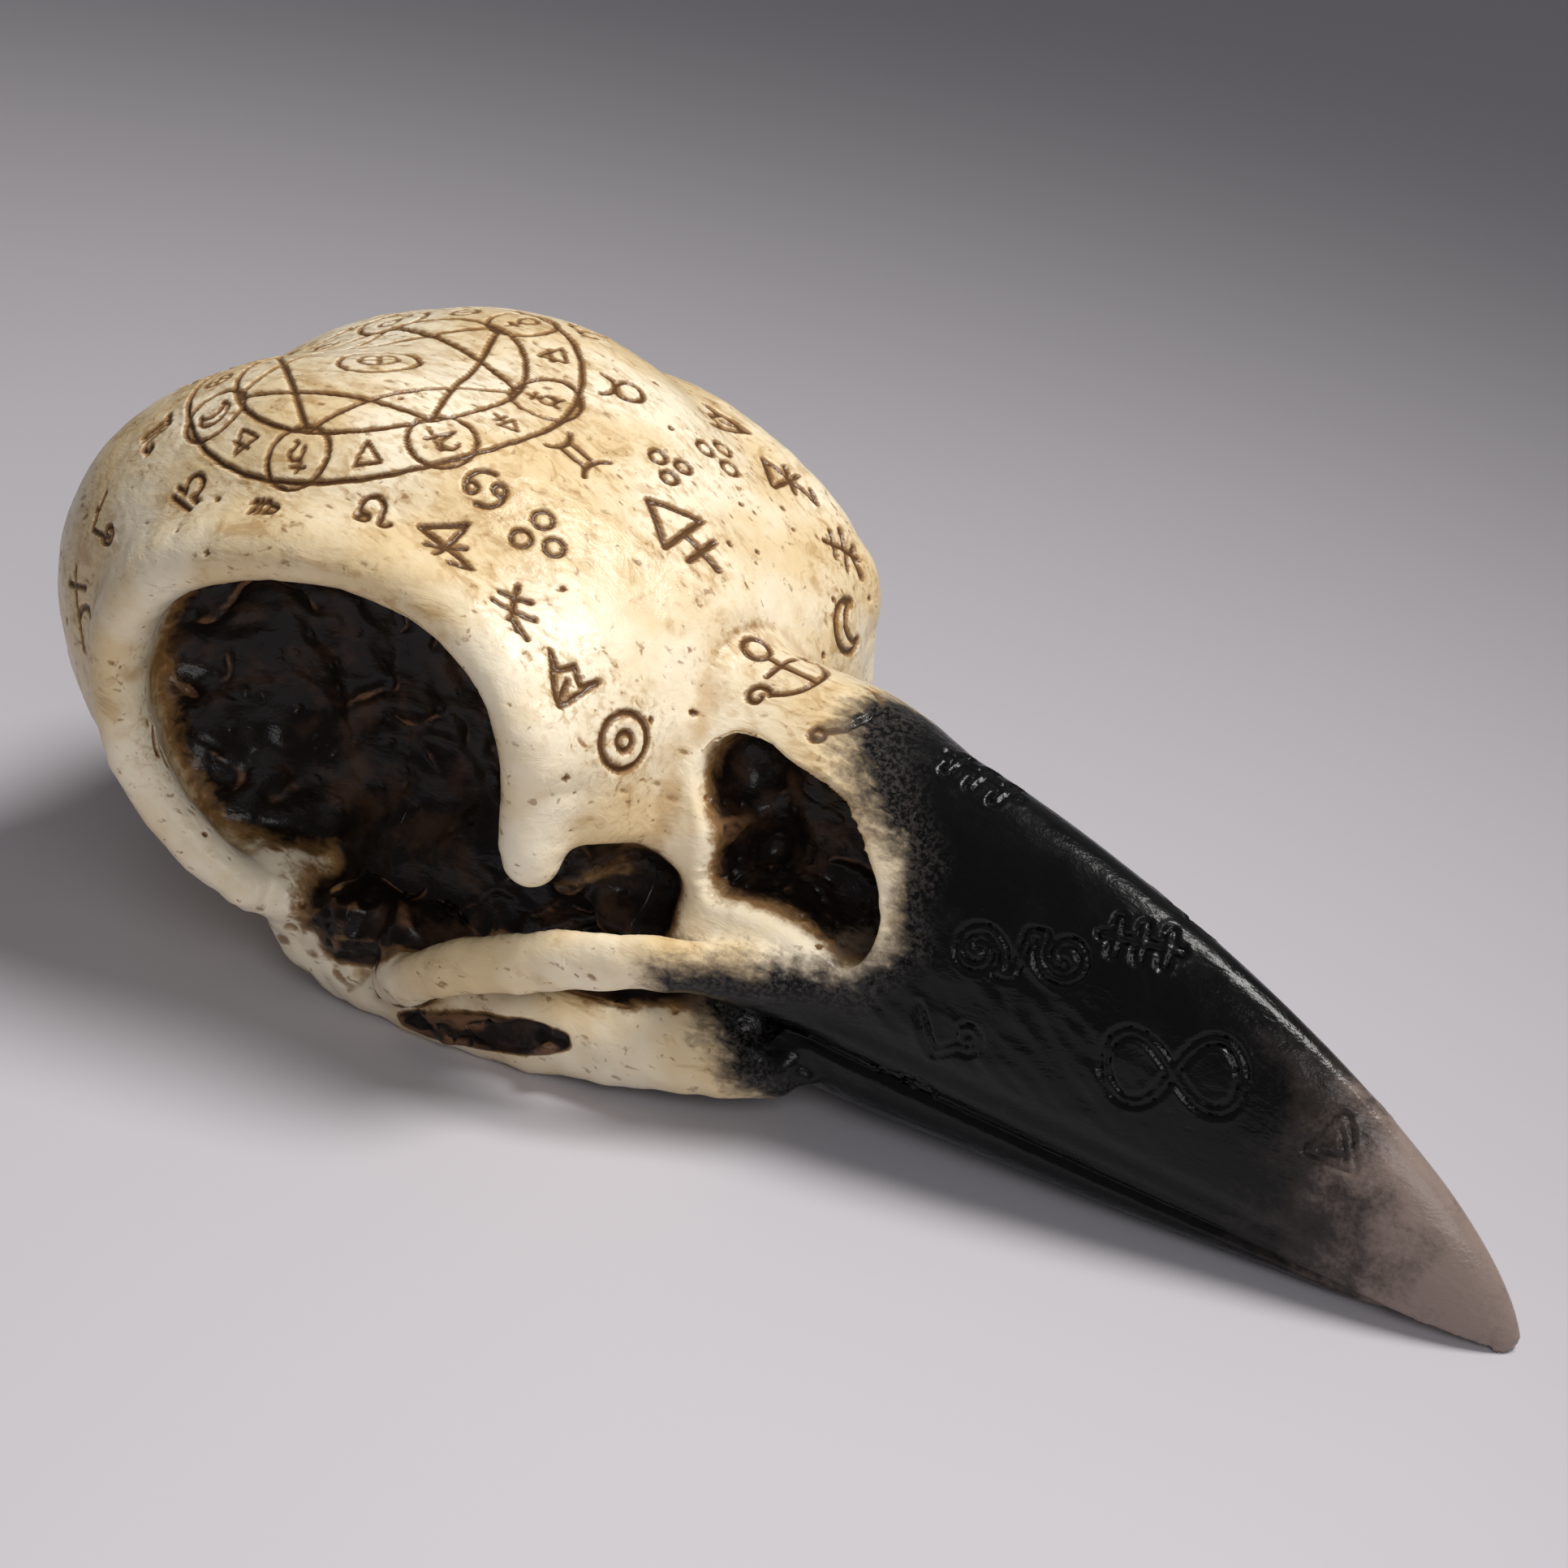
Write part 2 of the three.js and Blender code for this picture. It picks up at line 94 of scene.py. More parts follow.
# rounded masses: centre, half sizes, squareness and how softly each melts into the rest
braincase = {"centre": (27.5, 12.5, 56), "half": (48.5, 29.5, 37), "pitch": 15, "square": 2.2, "blend": 5}
forehead = {"centre": (62, 0, 53), "half": (33, 30, 29), "square": 2, "blend": 16}
brow = {"centre": (57, 22.5, 51.5), "half": (33.5, 15.5, 26), "square": 2.4, "blend": 8}
billBase = {"centre": (104, 0, 42.5), "half": (24, 17.5, 18.5), "square": 2, "blend": 4}
bill = {
    "baseX": 80, "tipX": 212, "baseTop": 65, "baseBottom": 25, "tipZ": 3.6, "overhang": 1.6,
    "halfWidth": 21, "culmenCurve": 1.65, "culmenFullness": 0.64, "taper": 1.3, "sideFullness": 0.8,
    "bluntTip": 0.2, "edgeCurve": 0.95, "widestAt": 0.22, "roundness": 1.8, "undersideRoundness": 3.6,
    "blend": 3.5,
}
lowerBill = {
    "from": 109, "to": 201, "slimmer": 0.87, "deep": 14.8, "thin": 4,
    "roundness": 2.5, "tuckedIn": 1.8, "blend": 1.2,
}

# hollows carved out of both sides; soften rounds their edges
socket = {
    "centre": (48.5, 43, 46), "half": (38, 27, 32.5), "square": 2.3,
    "rise": -6, "turn": -5, "tilt": 5, "soften": 3,
}
underSocket = {"centre": (61, 41, 27), "half": (36, 24, 16), "square": 2, "soften": 2.5}
antorbital = {"centre": (88, 34, 35), "half": (11.5, 20, 9.5), "square": 2, "soften": 2.5}
nares = {  # outline in the side view as (x, z), and how far out from the middle plane the wall lies
    "outline": [
        (98, 57.5), (95.5, 55.5), (94.7, 52), (96.5, 47.5), (99, 44.5), (98.3, 40), (99.5, 36.8),
        (105, 36.6), (111, 35.5), (116, 33.2), (120, 31.8), (123, 34.5), (124, 39), (122, 45),
        (118.5, 49.5), (114, 53.5), (107.5, 56), (102, 57.5),
    ],
    "wall": 4.5, "rounding": 7, "soften": 1.2,
}
jawSlot = {"centre": (68, 32, 9.7), "half": (16, 7.5, 2.4), "square": 2, "rise": -12, "soften": 1}
socketBack = {"centre": (35, 40, 28.5), "half": (18.5, 17, 12), "square": 2, "rise": 20, "soften": 2.5}
hollows = [socket, socketBack, underSocket, antorbital]
throat = {"centre": (51, 0, 22.5), "half": (30, 22.5, 13), "square": 2.6, "blend": 5}
innerJaw = {"centre": (78, 0, 15), "half": (34, 22.5, 8), "square": 2.6, "blend": 3}
cheekBone = {"centre": (105, 0, 27.5), "half": (17, 23.5, 7), "square": 2.2, "blend": 5}

# rods: points on the left side, half thickness and half height along them
jugalBar = {
    "path": [
        (50, 31, 11.5), (57, 33, 15.5), (64, 34, 20), (72, 34, 23.6), (86, 31, 28),
        (100, 25, 29.3), (113, 18, 29.3),
    ],
    "thick": 2.4, "high": 4.3, "endHigh": 0.7, "blend": 2.5,
}
jaw = {
    "path": [
        (27, 29.5, 17), (34, 28.5, 12), (48, 27, 9.2), (62, 26.5, 9.6), (80, 25, 11),
        (96, 21.5, 12.4), (114, 15.5, 12.5),
    ],
    "thick": 3.3, "high": 6.2, "endHigh": 0.6, "deepestAt": 0.42, "blend": 3,
}
quadrate = {
    "path": [(24, 30, 22), (34, 28.5, 19), (46, 27, 18), (60, 24, 16.5)],
    "thick": 5.4, "knuckles": 3, "knuckleRise": 0.26, "blend": 5,
}
palate = {"path": [(34, 0, 20.5), (71, 0, 16.5), (108, 0, 16.5)], "wide": (10, 19), "high": 7.5, "blend": 3}
orbitRim = {
    "radius": 3.6, "from": 6, "to": 158, "points": 18, "blend": 7,
    "tail": [
        (12.4, 41.8, 48), (14, 41.5, 40.5), (17.8, 40, 33), (23, 38.3, 27), (29, 36.3, 22.8), (35.5, 33, 20),
    ],
}
lacrimal = {"knob": (82, 34, 40.5), "topRadius": 3.4, "knobRadius": 5, "startsAt": 20, "blend": 4}
rearHole = {"angle": 212, "radius": 6.5, "soften": 2}
rearKnob = {"angle": 224, "radius": 3.4, "blend": 1.5}

farAway = 40.0  # given to points that are out of a rod's reach


def smoothStep(low, high, value):
    t = np.clip((value - low) / (high - low), 0, 1)
    return t * t * (3 - 2 * t)


def mixed(low, high, share):
    return low + (high - low) * share


def blendUnion(a, b, k):
    h = np.clip(k - np.abs(a - b), 0, None) / k
    return np.minimum(a, b) - h * h * k / 4


def carve(a, b, k):
    return -blendUnion(-a, b, k)


def roundedField(at, half, square):
    total = steep = 0
    for along, size in zip(at, half):
        share = np.abs(along) / size
        power = share if square == 2 else share ** (square - 1)
        total = total + power * share
        steep = steep + (power / size) ** 2
    r = np.maximum(total, 1e-9) ** (1 / square)
    return (r - 1) / (np.sqrt(steep) * r ** (1 - square) + 1e-9)


def massField(x, y, z, mass, side=1):
    cx, cy, cz = mass["centre"]
    pitch = math.radians(mass.get("pitch", 0))
    dx, dz = x - cx, z - cz
    along = dx * math.cos(pitch) + dz * math.sin(pitch)
    rise = dz * math.cos(pitch) - dx * math.sin(pitch)
    return roundedField((along, y - side * cy, rise), mass["half"], mass["square"])


def hollowField(x, y, z, hollow):
    cx, cy, cz = hollow["centre"]
    x, y, z = x - cx, y - cy, z - cz
    for name, turned in (("turn", 0), ("tilt", 1), ("rise", 2)):
        angle = math.radians(hollow.get(name, 0))
        c, s = math.cos(angle), math.sin(angle)
        if turned == 0:
            x, y = x * c + y * s, y * c - x * s
        elif turned == 1:
            y, z = y * c + z * s, z * c - y * s
        else:
            x, z = x * c - z * s, z * c + x * s
    return roundedField((x, y, z), hollow["half"], hollow["square"])


def billShare(x):
    return np.clip((x - bill["baseX"]) / (bill["tipX"] - bill["baseX"]), 0, 1)


def bitingEdge(x):
    drop = (1 - billShare(x)) ** bill["edgeCurve"]
    return bill["tipZ"] - bill["overhang"] + (bill["baseBottom"] - bill["tipZ"]) * drop


def billHalfWidth(x):
    s = billShare(x)
    fullness = bill["sideFullness"] - bill["bluntTip"] * smoothStep(0.7, 1, s)
    return np.maximum(bill["halfWidth"] * (1 - s ** bill["taper"]) ** fullness, 0.3)


def culmenHeight(x):
    rise = (1 - billShare(x) ** bill["culmenCurve"]) ** bill["culmenFullness"]
    return mixed(bill["tipZ"], bill["baseTop"], rise)


def billField(x, y, z):
    top, bottom, half = culmenHeight(x), bitingEdge(x), billHalfWidth(x)
    wide = mixed(bottom, top, bill["widestAt"])
    upper = z > wide
    rise = np.abs(z - wide) / np.maximum(np.where(upper, top - wide, wide - bottom), 0.3)
    n = np.where(upper, bill["roundness"], bill["undersideRoundness"])
    r = ((y / half) ** n + rise ** n) ** (1 / n)
    d = (r - 1) * np.minimum(half, (top - bottom) / 2)
    return np.maximum(d, np.maximum(bill["baseX"] - x, x - bill["tipX"]))


def lowerField(x, y, z):
    t = np.clip((x - lowerBill["from"]) / (lowerBill["to"] - lowerBill["from"]), 0, 1)
    top = bitingEdge(x) + lowerBill["tuckedIn"]
    half = billHalfWidth(x) * lowerBill["slimmer"]
    deep = mixed(lowerBill["deep"], lowerBill["thin"], t) * np.sqrt(1 - (0.97 * t) ** 6)
    n = lowerBill["roundness"]
    r = ((y / half) ** n + (np.abs(z - top) / deep) ** n) ** (1 / n)
    d = carve((r - 1) * np.minimum(half, deep), top - z, 1.6)
    return np.maximum(d, np.maximum(lowerBill["from"] - x, x - lowerBill["to"]))


def skinField(p):
    x, y, z = p[:, 0], np.abs(p[:, 1]), p[:, 2]
    d = massField(x, y, z, braincase)
    d = blendUnion(d, massField(x, y, z, braincase, -1), braincase["blend"])
    for mass in (forehead, brow, billBase):
        d = blendUnion(d, massField(x, y, z, mass), mass["blend"])
    return blendUnion(d, billField(x, y, z), bill["blend"])


def gradientOf(field, p, f):
    step = 0.05
    sides = [(field(p + np.eye(3)[k] * step) - f) / step for k in range(3)]
    return np.stack(sides, 1)


# Moves points on to the surface where the field is zero.
def settle(p, field, rounds, most):
    for _ in range(rounds):
        f = field(p)
        g = gradientOf(field, p, f)
        size = np.maximum((g * g).sum(1), 0.3)
        p = p - (np.clip(f, -most, most) / size)[:, None] * g
    return p


def curveThrough(points, count):
    points = np.array(points, float)
    at = np.concatenate([[0], np.cumsum(np.linalg.norm(np.diff(points, axis=0), axis=1))])
    slope = np.gradient(points, at, axis=0)
    fine = np.linspace(0, at[-1], count)
    i = np.clip(np.searchsorted(at, fine, side="right") - 1, 0, len(at) - 2)
    step = (at[i + 1] - at[i])[:, None]
    t = (fine - at[i])[:, None] / step
    start = (2 * t**3 - 3 * t**2 + 1) * points[i] + (t**3 - 2 * t**2 + t) * step * slope[i]
    return start + (3 * t**2 - 2 * t**3) * points[i + 1] + (t**3 - t**2) * step * slope[i + 1]


def roundEnds(t):
    return np.sqrt(1 - np.abs(2 * t - 1) ** 12)


def makeRod(line, thick, high, blend):
    return {"line": line, "thick": np.maximum(thick, 0.3), "high": np.maximum(high, 0.3), "blend": blend}


def rodField(p, rod):
    line = rod["line"]
    reach = max(rod["thick"].max(), rod["high"].max()) + rod["blend"] + 4
    near = np.where(np.all((p > line.min(0) - reach) & (p < line.max(0) + reach), axis=1))[0]
    q = p[near]
    best = np.full(len(q), farAway)
    for i in range(len(line) - 1):
        along = line[i + 1] - line[i]
        length = np.linalg.norm(along)
        along = along / length
        rise = np.array([-along[2], 0, along[0]])
        rise /= np.linalg.norm(rise)
        across = np.cross(rise, along)
        off = q - line[i]
        t = np.clip(off @ along / length, 0, 1)
        thick, high = (mixed(rod[way][i], rod[way][i + 1], t) for way in ("thick", "high"))
        small = np.minimum(thick, high)
        over = off @ along - t * length
        r = np.sqrt((off @ across / thick) ** 2 + (off @ rise / high) ** 2 + (over / small) ** 2)
        best = np.minimum(best, (r - 1) * small)
    field = np.full(len(p), farAway)
    field[near] = best
    return field


# Points where the socket's edge comes out through the skin, for angles in degrees.
def rimPoints(angles):
    angles = np.radians(angles)
    inner, outer = np.zeros(len(angles)), np.full(len(angles), math.pi)
    for _ in range(30):
        t = (inner + outer) / 2
        v = np.stack([np.cos(angles) * np.sin(t), -np.cos(t), np.sin(angles) * np.sin(t)], 1)
        size = (np.abs(v) ** socket["square"]).sum(1) ** (1 / socket["square"])
        v = v / size[:, None] * np.array(socket["half"])
        for axis, name in ((1, "rise"), (0, "tilt"), (2, "turn")):
            v = v @ np.array(Matrix.Rotation(math.radians(socket[name]), 3, "XYZ"[axis])).T
        v = v + np.array(socket["centre"])
        outside = skinField(v) > 0
        outer = np.where(outside, t, outer)
        inner = np.where(outside, inner, t)
    return v


def backPoint(angle):
    way = np.array([math.cos(math.radians(angle)), 0, math.sin(math.radians(angle))])
    centre = np.array([braincase["centre"][0], 0, braincase["centre"][2]])
    reach = np.linspace(20, 70, 1001)
    along = centre + reach[:, None] * way
    return along[np.argmax(skinField(along) > 0)]


def buildRods():
    rods = {}

    def addRod(name, line, thick, high, values):
        rods[name] = makeRod(line, thick, high, values["blend"])

    angles = np.linspace(orbitRim["from"], orbitRim["to"], orbitRim["points"])
    rim = np.concatenate([rimPoints(angles), np.array(orbitRim["tail"])])
    radius = orbitRim["radius"] * roundEnds(np.linspace(0, 1, len(rim)))
    addRod("rim", rim, radius, radius, orbitRim)

    top = rimPoints(np.array([lacrimal["startsAt"]]))[0]
    knob = np.array(lacrimal["knob"])
    shoulder = np.array([knob[0], knob[1], (top[2] + knob[2]) / 2])
    t = np.linspace(0, 1, 9)
    radius = mixed(lacrimal["topRadius"], lacrimal["knobRadius"], t**2) * np.sqrt(1 - t**8)
    addRod("lacrimal", curveThrough([top, shoulder, knob], 9), radius, radius, lacrimal)

    t = np.linspace(0, 1, 30)
    high = jugalBar["high"] * roundEnds(t) * mixed(jugalBar["endHigh"], 1, np.sin(np.pi * t))
    addRod("jugal", curveThrough(jugalBar["path"], 30), jugalBar["thick"] * roundEnds(t), high, jugalBar)

    t = np.linspace(0, 1, 22)
    deepest = jaw["deepestAt"]
    swell = np.sin(np.pi / 2 * np.minimum(t / deepest, (1 - t) / (1 - deepest)))
    high = jaw["high"] * roundEnds(t) * mixed(jaw["endHigh"], 1, swell)
    addRod("jaw", curveThrough(jaw["path"], 22), jaw["thick"] * roundEnds(t), high, jaw)

    t = np.linspace(0, 1, 16)
    knuckle = 1 - quadrate["knuckleRise"] * (1 + np.cos(2 * np.pi * quadrate["knuckles"] * t)) * 0.5
    radius = quadrate["thick"] * roundEnds(t) * knuckle
    addRod("quadrate", curveThrough(quadrate["path"], 16), radius, radius, quadrate)

    t = np.linspace(0, 1, 12)
    wide = mixed(*palate["wide"], smoothStep(0, 0.6, t)) * roundEnds(t)
    addRod("palate", curveThrough(palate["path"], 12), wide, palate["high"] * roundEnds(t), palate)
    return rods


rods = buildRods()
holePoint = backPoint(rearHole["angle"])
knobPoint = backPoint(rearKnob["angle"])


# The hollows' edges wander a little, as hand modelling leaves them.
def wander(x, y, z):
    along = 0.5 * np.sin(0.23 * z + 1.3) + 0.25 * np.sin(0.51 * z + 0.2 * y)
    upwards = 0.5 * np.sin(0.21 * x + 0.6) + 0.25 * np.sin(0.47 * x - 0.2 * y)
    return x + along, y, z + upwards


naresLine = curveThrough(nares["outline"] + nares["outline"][:1], 72)


# An opening drawn as a closed line in the side view, hollowed to a rounded wall.
def outlineField(x, y, z, opening):
    line, reach = naresLine, opening["rounding"] + 4
    near = np.where(
        (x > line[:, 0].min() - reach) & (x < line[:, 0].max() + reach)
        & (z > line[:, 1].min() - reach) & (z < line[:, 1].max() + reach)
    )[0]
    px, pz = x[near], z[near]
    best = np.full(len(near), farAway)
    inside = np.zeros(len(near), bool)
    for (ax, az), (bx, bz) in zip(line[:-1], line[1:]):
        sx, sz = bx - ax, bz - az
        t = np.clip(((px - ax) * sx + (pz - az) * sz) / (sx * sx + sz * sz + 1e-9), 0, 1)
        best = np.minimum(best, np.hypot(px - ax - t * sx, pz - az - t * sz))
        crosses = (az > pz) != (bz > pz)
        inside ^= crosses & (px < ax + (pz - az) * sx / np.where(abs(sz) < 1e-9, 1e-9, sz))
    sideways = np.where(inside, -best, best)
    field = np.full(len(x), farAway)
    field[near] = carve(sideways, y[near] - opening["wall"], opening["rounding"])
    return field


def castingField(p):
    x, y, z = p[:, 0], np.abs(p[:, 1]), p[:, 2]
    mirrored = np.stack([x, y, z], 1)
    d = skinField(p)
    d = carve(d, np.linalg.norm(p - holePoint, axis=1) - rearHole["radius"], rearHole["soften"])
    d = blendUnion(d, np.linalg.norm(p - knobPoint, axis=1) - rearKnob["radius"], rearKnob["blend"])
    wandered = wander(x, y, z)
    for hollow in hollows:
        d = carve(d, hollowField(*wandered, hollow), hollow["soften"])
    d = carve(d, outlineField(x, y, z, nares), nares["soften"])
    for mass in (throat, innerJaw, cheekBone):
        d = blendUnion(d, massField(x, y, z, mass), mass["blend"])
    d = blendUnion(d, lowerField(x, y, z), lowerBill["blend"])
    for name, rod in rods.items():
        if name != "jaw":
            d = blendUnion(d, rodField(mirrored, rod), rod["blend"])
    jawRod = carve(rodField(mirrored, rods["jaw"]), hollowField(x, y, z, jawSlot), jawSlot["soften"])
    return blendUnion(d, jawRod, rods["jaw"]["blend"])


# Noise for hand-modelled unevenness, the same on every run.
def hashed(i, seed):
    h = (i[:, 0] * 374761393 + i[:, 1] * 668265263 + i[:, 2] * 2147483647 + seed * 144665) & 0x7FFFFFFF
    h = ((h ^ (h >> 13)) * 1274126177) & 0x7FFFFFFF
    return ((h ^ (h >> 16)) & 0xFFFF) / 32767.5 - 1


def noiseAt(p, size, seed):
    q = p / size
    i = np.floor(q).astype(np.int64)
    f = q - i
    u = f * f * f * (f * (f * 6 - 15) + 10)
    total = 0
    for corner in range(8):
        c = np.array([corner & 1, corner >> 1 & 1, corner >> 2])
        weight = np.prod(np.where(c, u, 1 - u), axis=1)
        at = i + c
        off = f - c
        slope = sum(hashed(at, seed + 7 * k) * off[:, k] for k in range(3))
        total = total + weight * slope
    return total * 1.2


def deselectAll():
    bpy.ops.object.select_all(action="DESELECT")


def takeUp(piece):
    deselectAll()
    piece.select_set(True)
    bpy.context.view_layer.objects.active = piece


def applyModifier(piece, kind, **settings):
    takeUp(piece)
    modifier = piece.modifiers.new(kind.lower(), kind)
    for name, value in settings.items():
        setattr(modifier, name, value)
    bpy.ops.object.modifier_apply(modifier=modifier.name)


# Runs one mesh operator on all of a piece, in edit mode.
def editAll(piece, operator, **settings):
    takeUp(piece)
    bpy.ops.object.mode_set(mode="EDIT")
    bpy.ops.mesh.select_all(action="SELECT")
    operator(**settings)
    bpy.ops.object.mode_set(mode="OBJECT")


def readPoints(piece):
    flat = np.empty(len(piece.data.vertices) * 3, np.float32)
    piece.data.vertices.foreach_get("co", flat)
    return flat.reshape(-1, 3).astype(float)


def writePoints(piece, points):
    piece.data.vertices.foreach_set("co", points.astype(np.float32).ravel())
    piece.data.update()


def readNormals(piece):
    flat = np.empty(len(piece.data.vertices) * 3, np.float32)
    piece.data.vertex_normals.foreach_get("vector", flat)
    return flat.reshape(-1, 3).astype(float)


def writeAttribute(piece, name, values):
    layer = piece.data.attributes.new(name, "FLOAT", "POINT")
    layer.data.foreach_set("value", values.astype(np.float32))


def readEdges(piece):
    flat = np.empty(len(piece.data.edges) * 2, np.int32)
    piece.data.edges.foreach_get("vertices", flat)
    return flat.reshape(-1, 2)


def relax(points, edges, rounds, share=0.5):
    count = len(points)
    a, b = edges[:, 0], edges[:, 1]
    links = np.bincount(a, minlength=count) + np.bincount(b, minlength=count)
    for _ in range(rounds):
        mean = np.empty_like(points)
        for k in range(points.shape[1]):
            total = np.bincount(a, points[b, k], count) + np.bincount(b, points[a, k], count)
            mean[:, k] = total / links
        points = points + (mean - points) * share
    return points


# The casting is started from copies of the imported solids.
castingValues = {
    "overlap": 0.00035,  # how far each copy grows, so that the thin seams close
    "voxel": 0.00088,
    "settleRounds": 4,
    "fillShare": 0.88,  # how much of the added masses the plain balls take up before they are settled
}


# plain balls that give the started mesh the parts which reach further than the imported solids
def addBall(at, half):
    centre = toTable(np.array([at], float))[0]
    bpy.ops.mesh.primitive_uv_sphere_add(segments=24, ring_count=12, radius=1, location=centre)
    ball = bpy.context.object
    ball.scale = [size * castingValues["fillShare"] / 1000 for size in half]
    bpy.ops.object.transform_apply(location=True, rotation=False, scale=True)
    return ball


def addFillers():
    balls = [addBall(mass["centre"], mass["half"]) for mass in (throat, innerJaw, cheekBone)]
    for side in (-1, 1):
        for rod, first in (("rim", orbitRim["points"] - 2), ("jugal", 0)):
            line = rods[rod]["line"][first:]
            fine = curveThrough(line, 3 * len(line))
            size = min(rods[rod]["thick"].max(), rods[rod]["high"].max())
            balls += [addBall((p[0], side * p[1], p[2]), (size, size, size)) for p in fine[2:-4]]
    return balls


def startCasting():
    deselectAll()
    copies = addFillers()
    deselectAll()
    for ball in copies:
        ball.select_set(True)
    for name in sorted(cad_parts):
        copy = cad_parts[name].copy()
        copy.data = copy.data.copy()
        copy.parent = None
        for key in list(copy.keys()):
            del copy[key]
        bpy.context.scene.collection.objects.link(copy)
        copy.select_set(True)
        copies.append(copy)
    bpy.context.view_layer.objects.active = copies[0]
    bpy.ops.object.join()
    piece = bpy.context.object
    piece.name = "casting"
    editAll(piece, bpy.ops.mesh.remove_doubles, threshold=1e-6)
    piece.data.materials.clear()
    applyModifier(piece, "DISPLACE", strength=castingValues["overlap"], mid_level=0)
    applyModifier(piece, "REMESH", mode="VOXEL", voxel_size=castingValues["voxel"])
    return piece


casting = startCasting()
sayStage(f"casting joined, {len(casting.data.vertices)} points")

edges = readEdges(casting)
form = toForm(readPoints(casting))
for _ in range(castingValues["settleRounds"]):
    form = relax(form, edges, 2)
    form = settle(form, castingField, 1, 1.0)
form = settle(relax(form, edges, 1), castingField, 1, 0.5)
writePoints(casting, toTable(form))
sayStage("large form settled")

editAll(casting, bpy.ops.mesh.subdivide, number_cuts=1)
edges = readEdges(casting)
form = settle(relax(toForm(readPoints(casting)), edges, 3), castingField, 1, 0.5)
writePoints(casting, toTable(relax(form, edges, 1)))
form = toForm(readPoints(casting))
outwards = readNormals(casting)
sayStage(f"fine mesh has {len(form)} points")


# Engraved signs are drawn in a unit square with y up.
def arcOf(cx, cy, radius, start, end):
    angles = np.radians(np.linspace(start, end, max(6, int(abs(end - start) / 10))))
    return [(cx + radius * math.cos(a), cy + radius * math.sin(a)) for a in angles]


def ringOf(cx, cy, radius):
    return arcOf(cx, cy, radius, 0, 360)


def spiralOf(cx, cy, outer, inner, start, end):
    t = np.linspace(0, 1, max(12, int(abs(end - start) / 10)))
    angles = np.radians(mixed(start, end, t))
    radius = mixed(outer, inner, t)
    return [(cx + r * math.cos(a), cy + r * math.sin(a)) for r, a in zip(radius, angles)]


def wavePair(height):
    return [(-0.45, height - 0.1), (-0.27, height + 0.1), (-0.1, height - 0.1), (0.08, height + 0.1),
            (0.25, height - 0.1), (0.43, height + 0.1)]


def endlessLoop(wide, high):
    points = []
    for a in np.linspace(0, 2 * math.pi, 48):
        c, s = math.cos(a), math.sin(a)
        points.append((wide * c / (1 + s**2), high * s * c / (1 + s**2)))
    return points


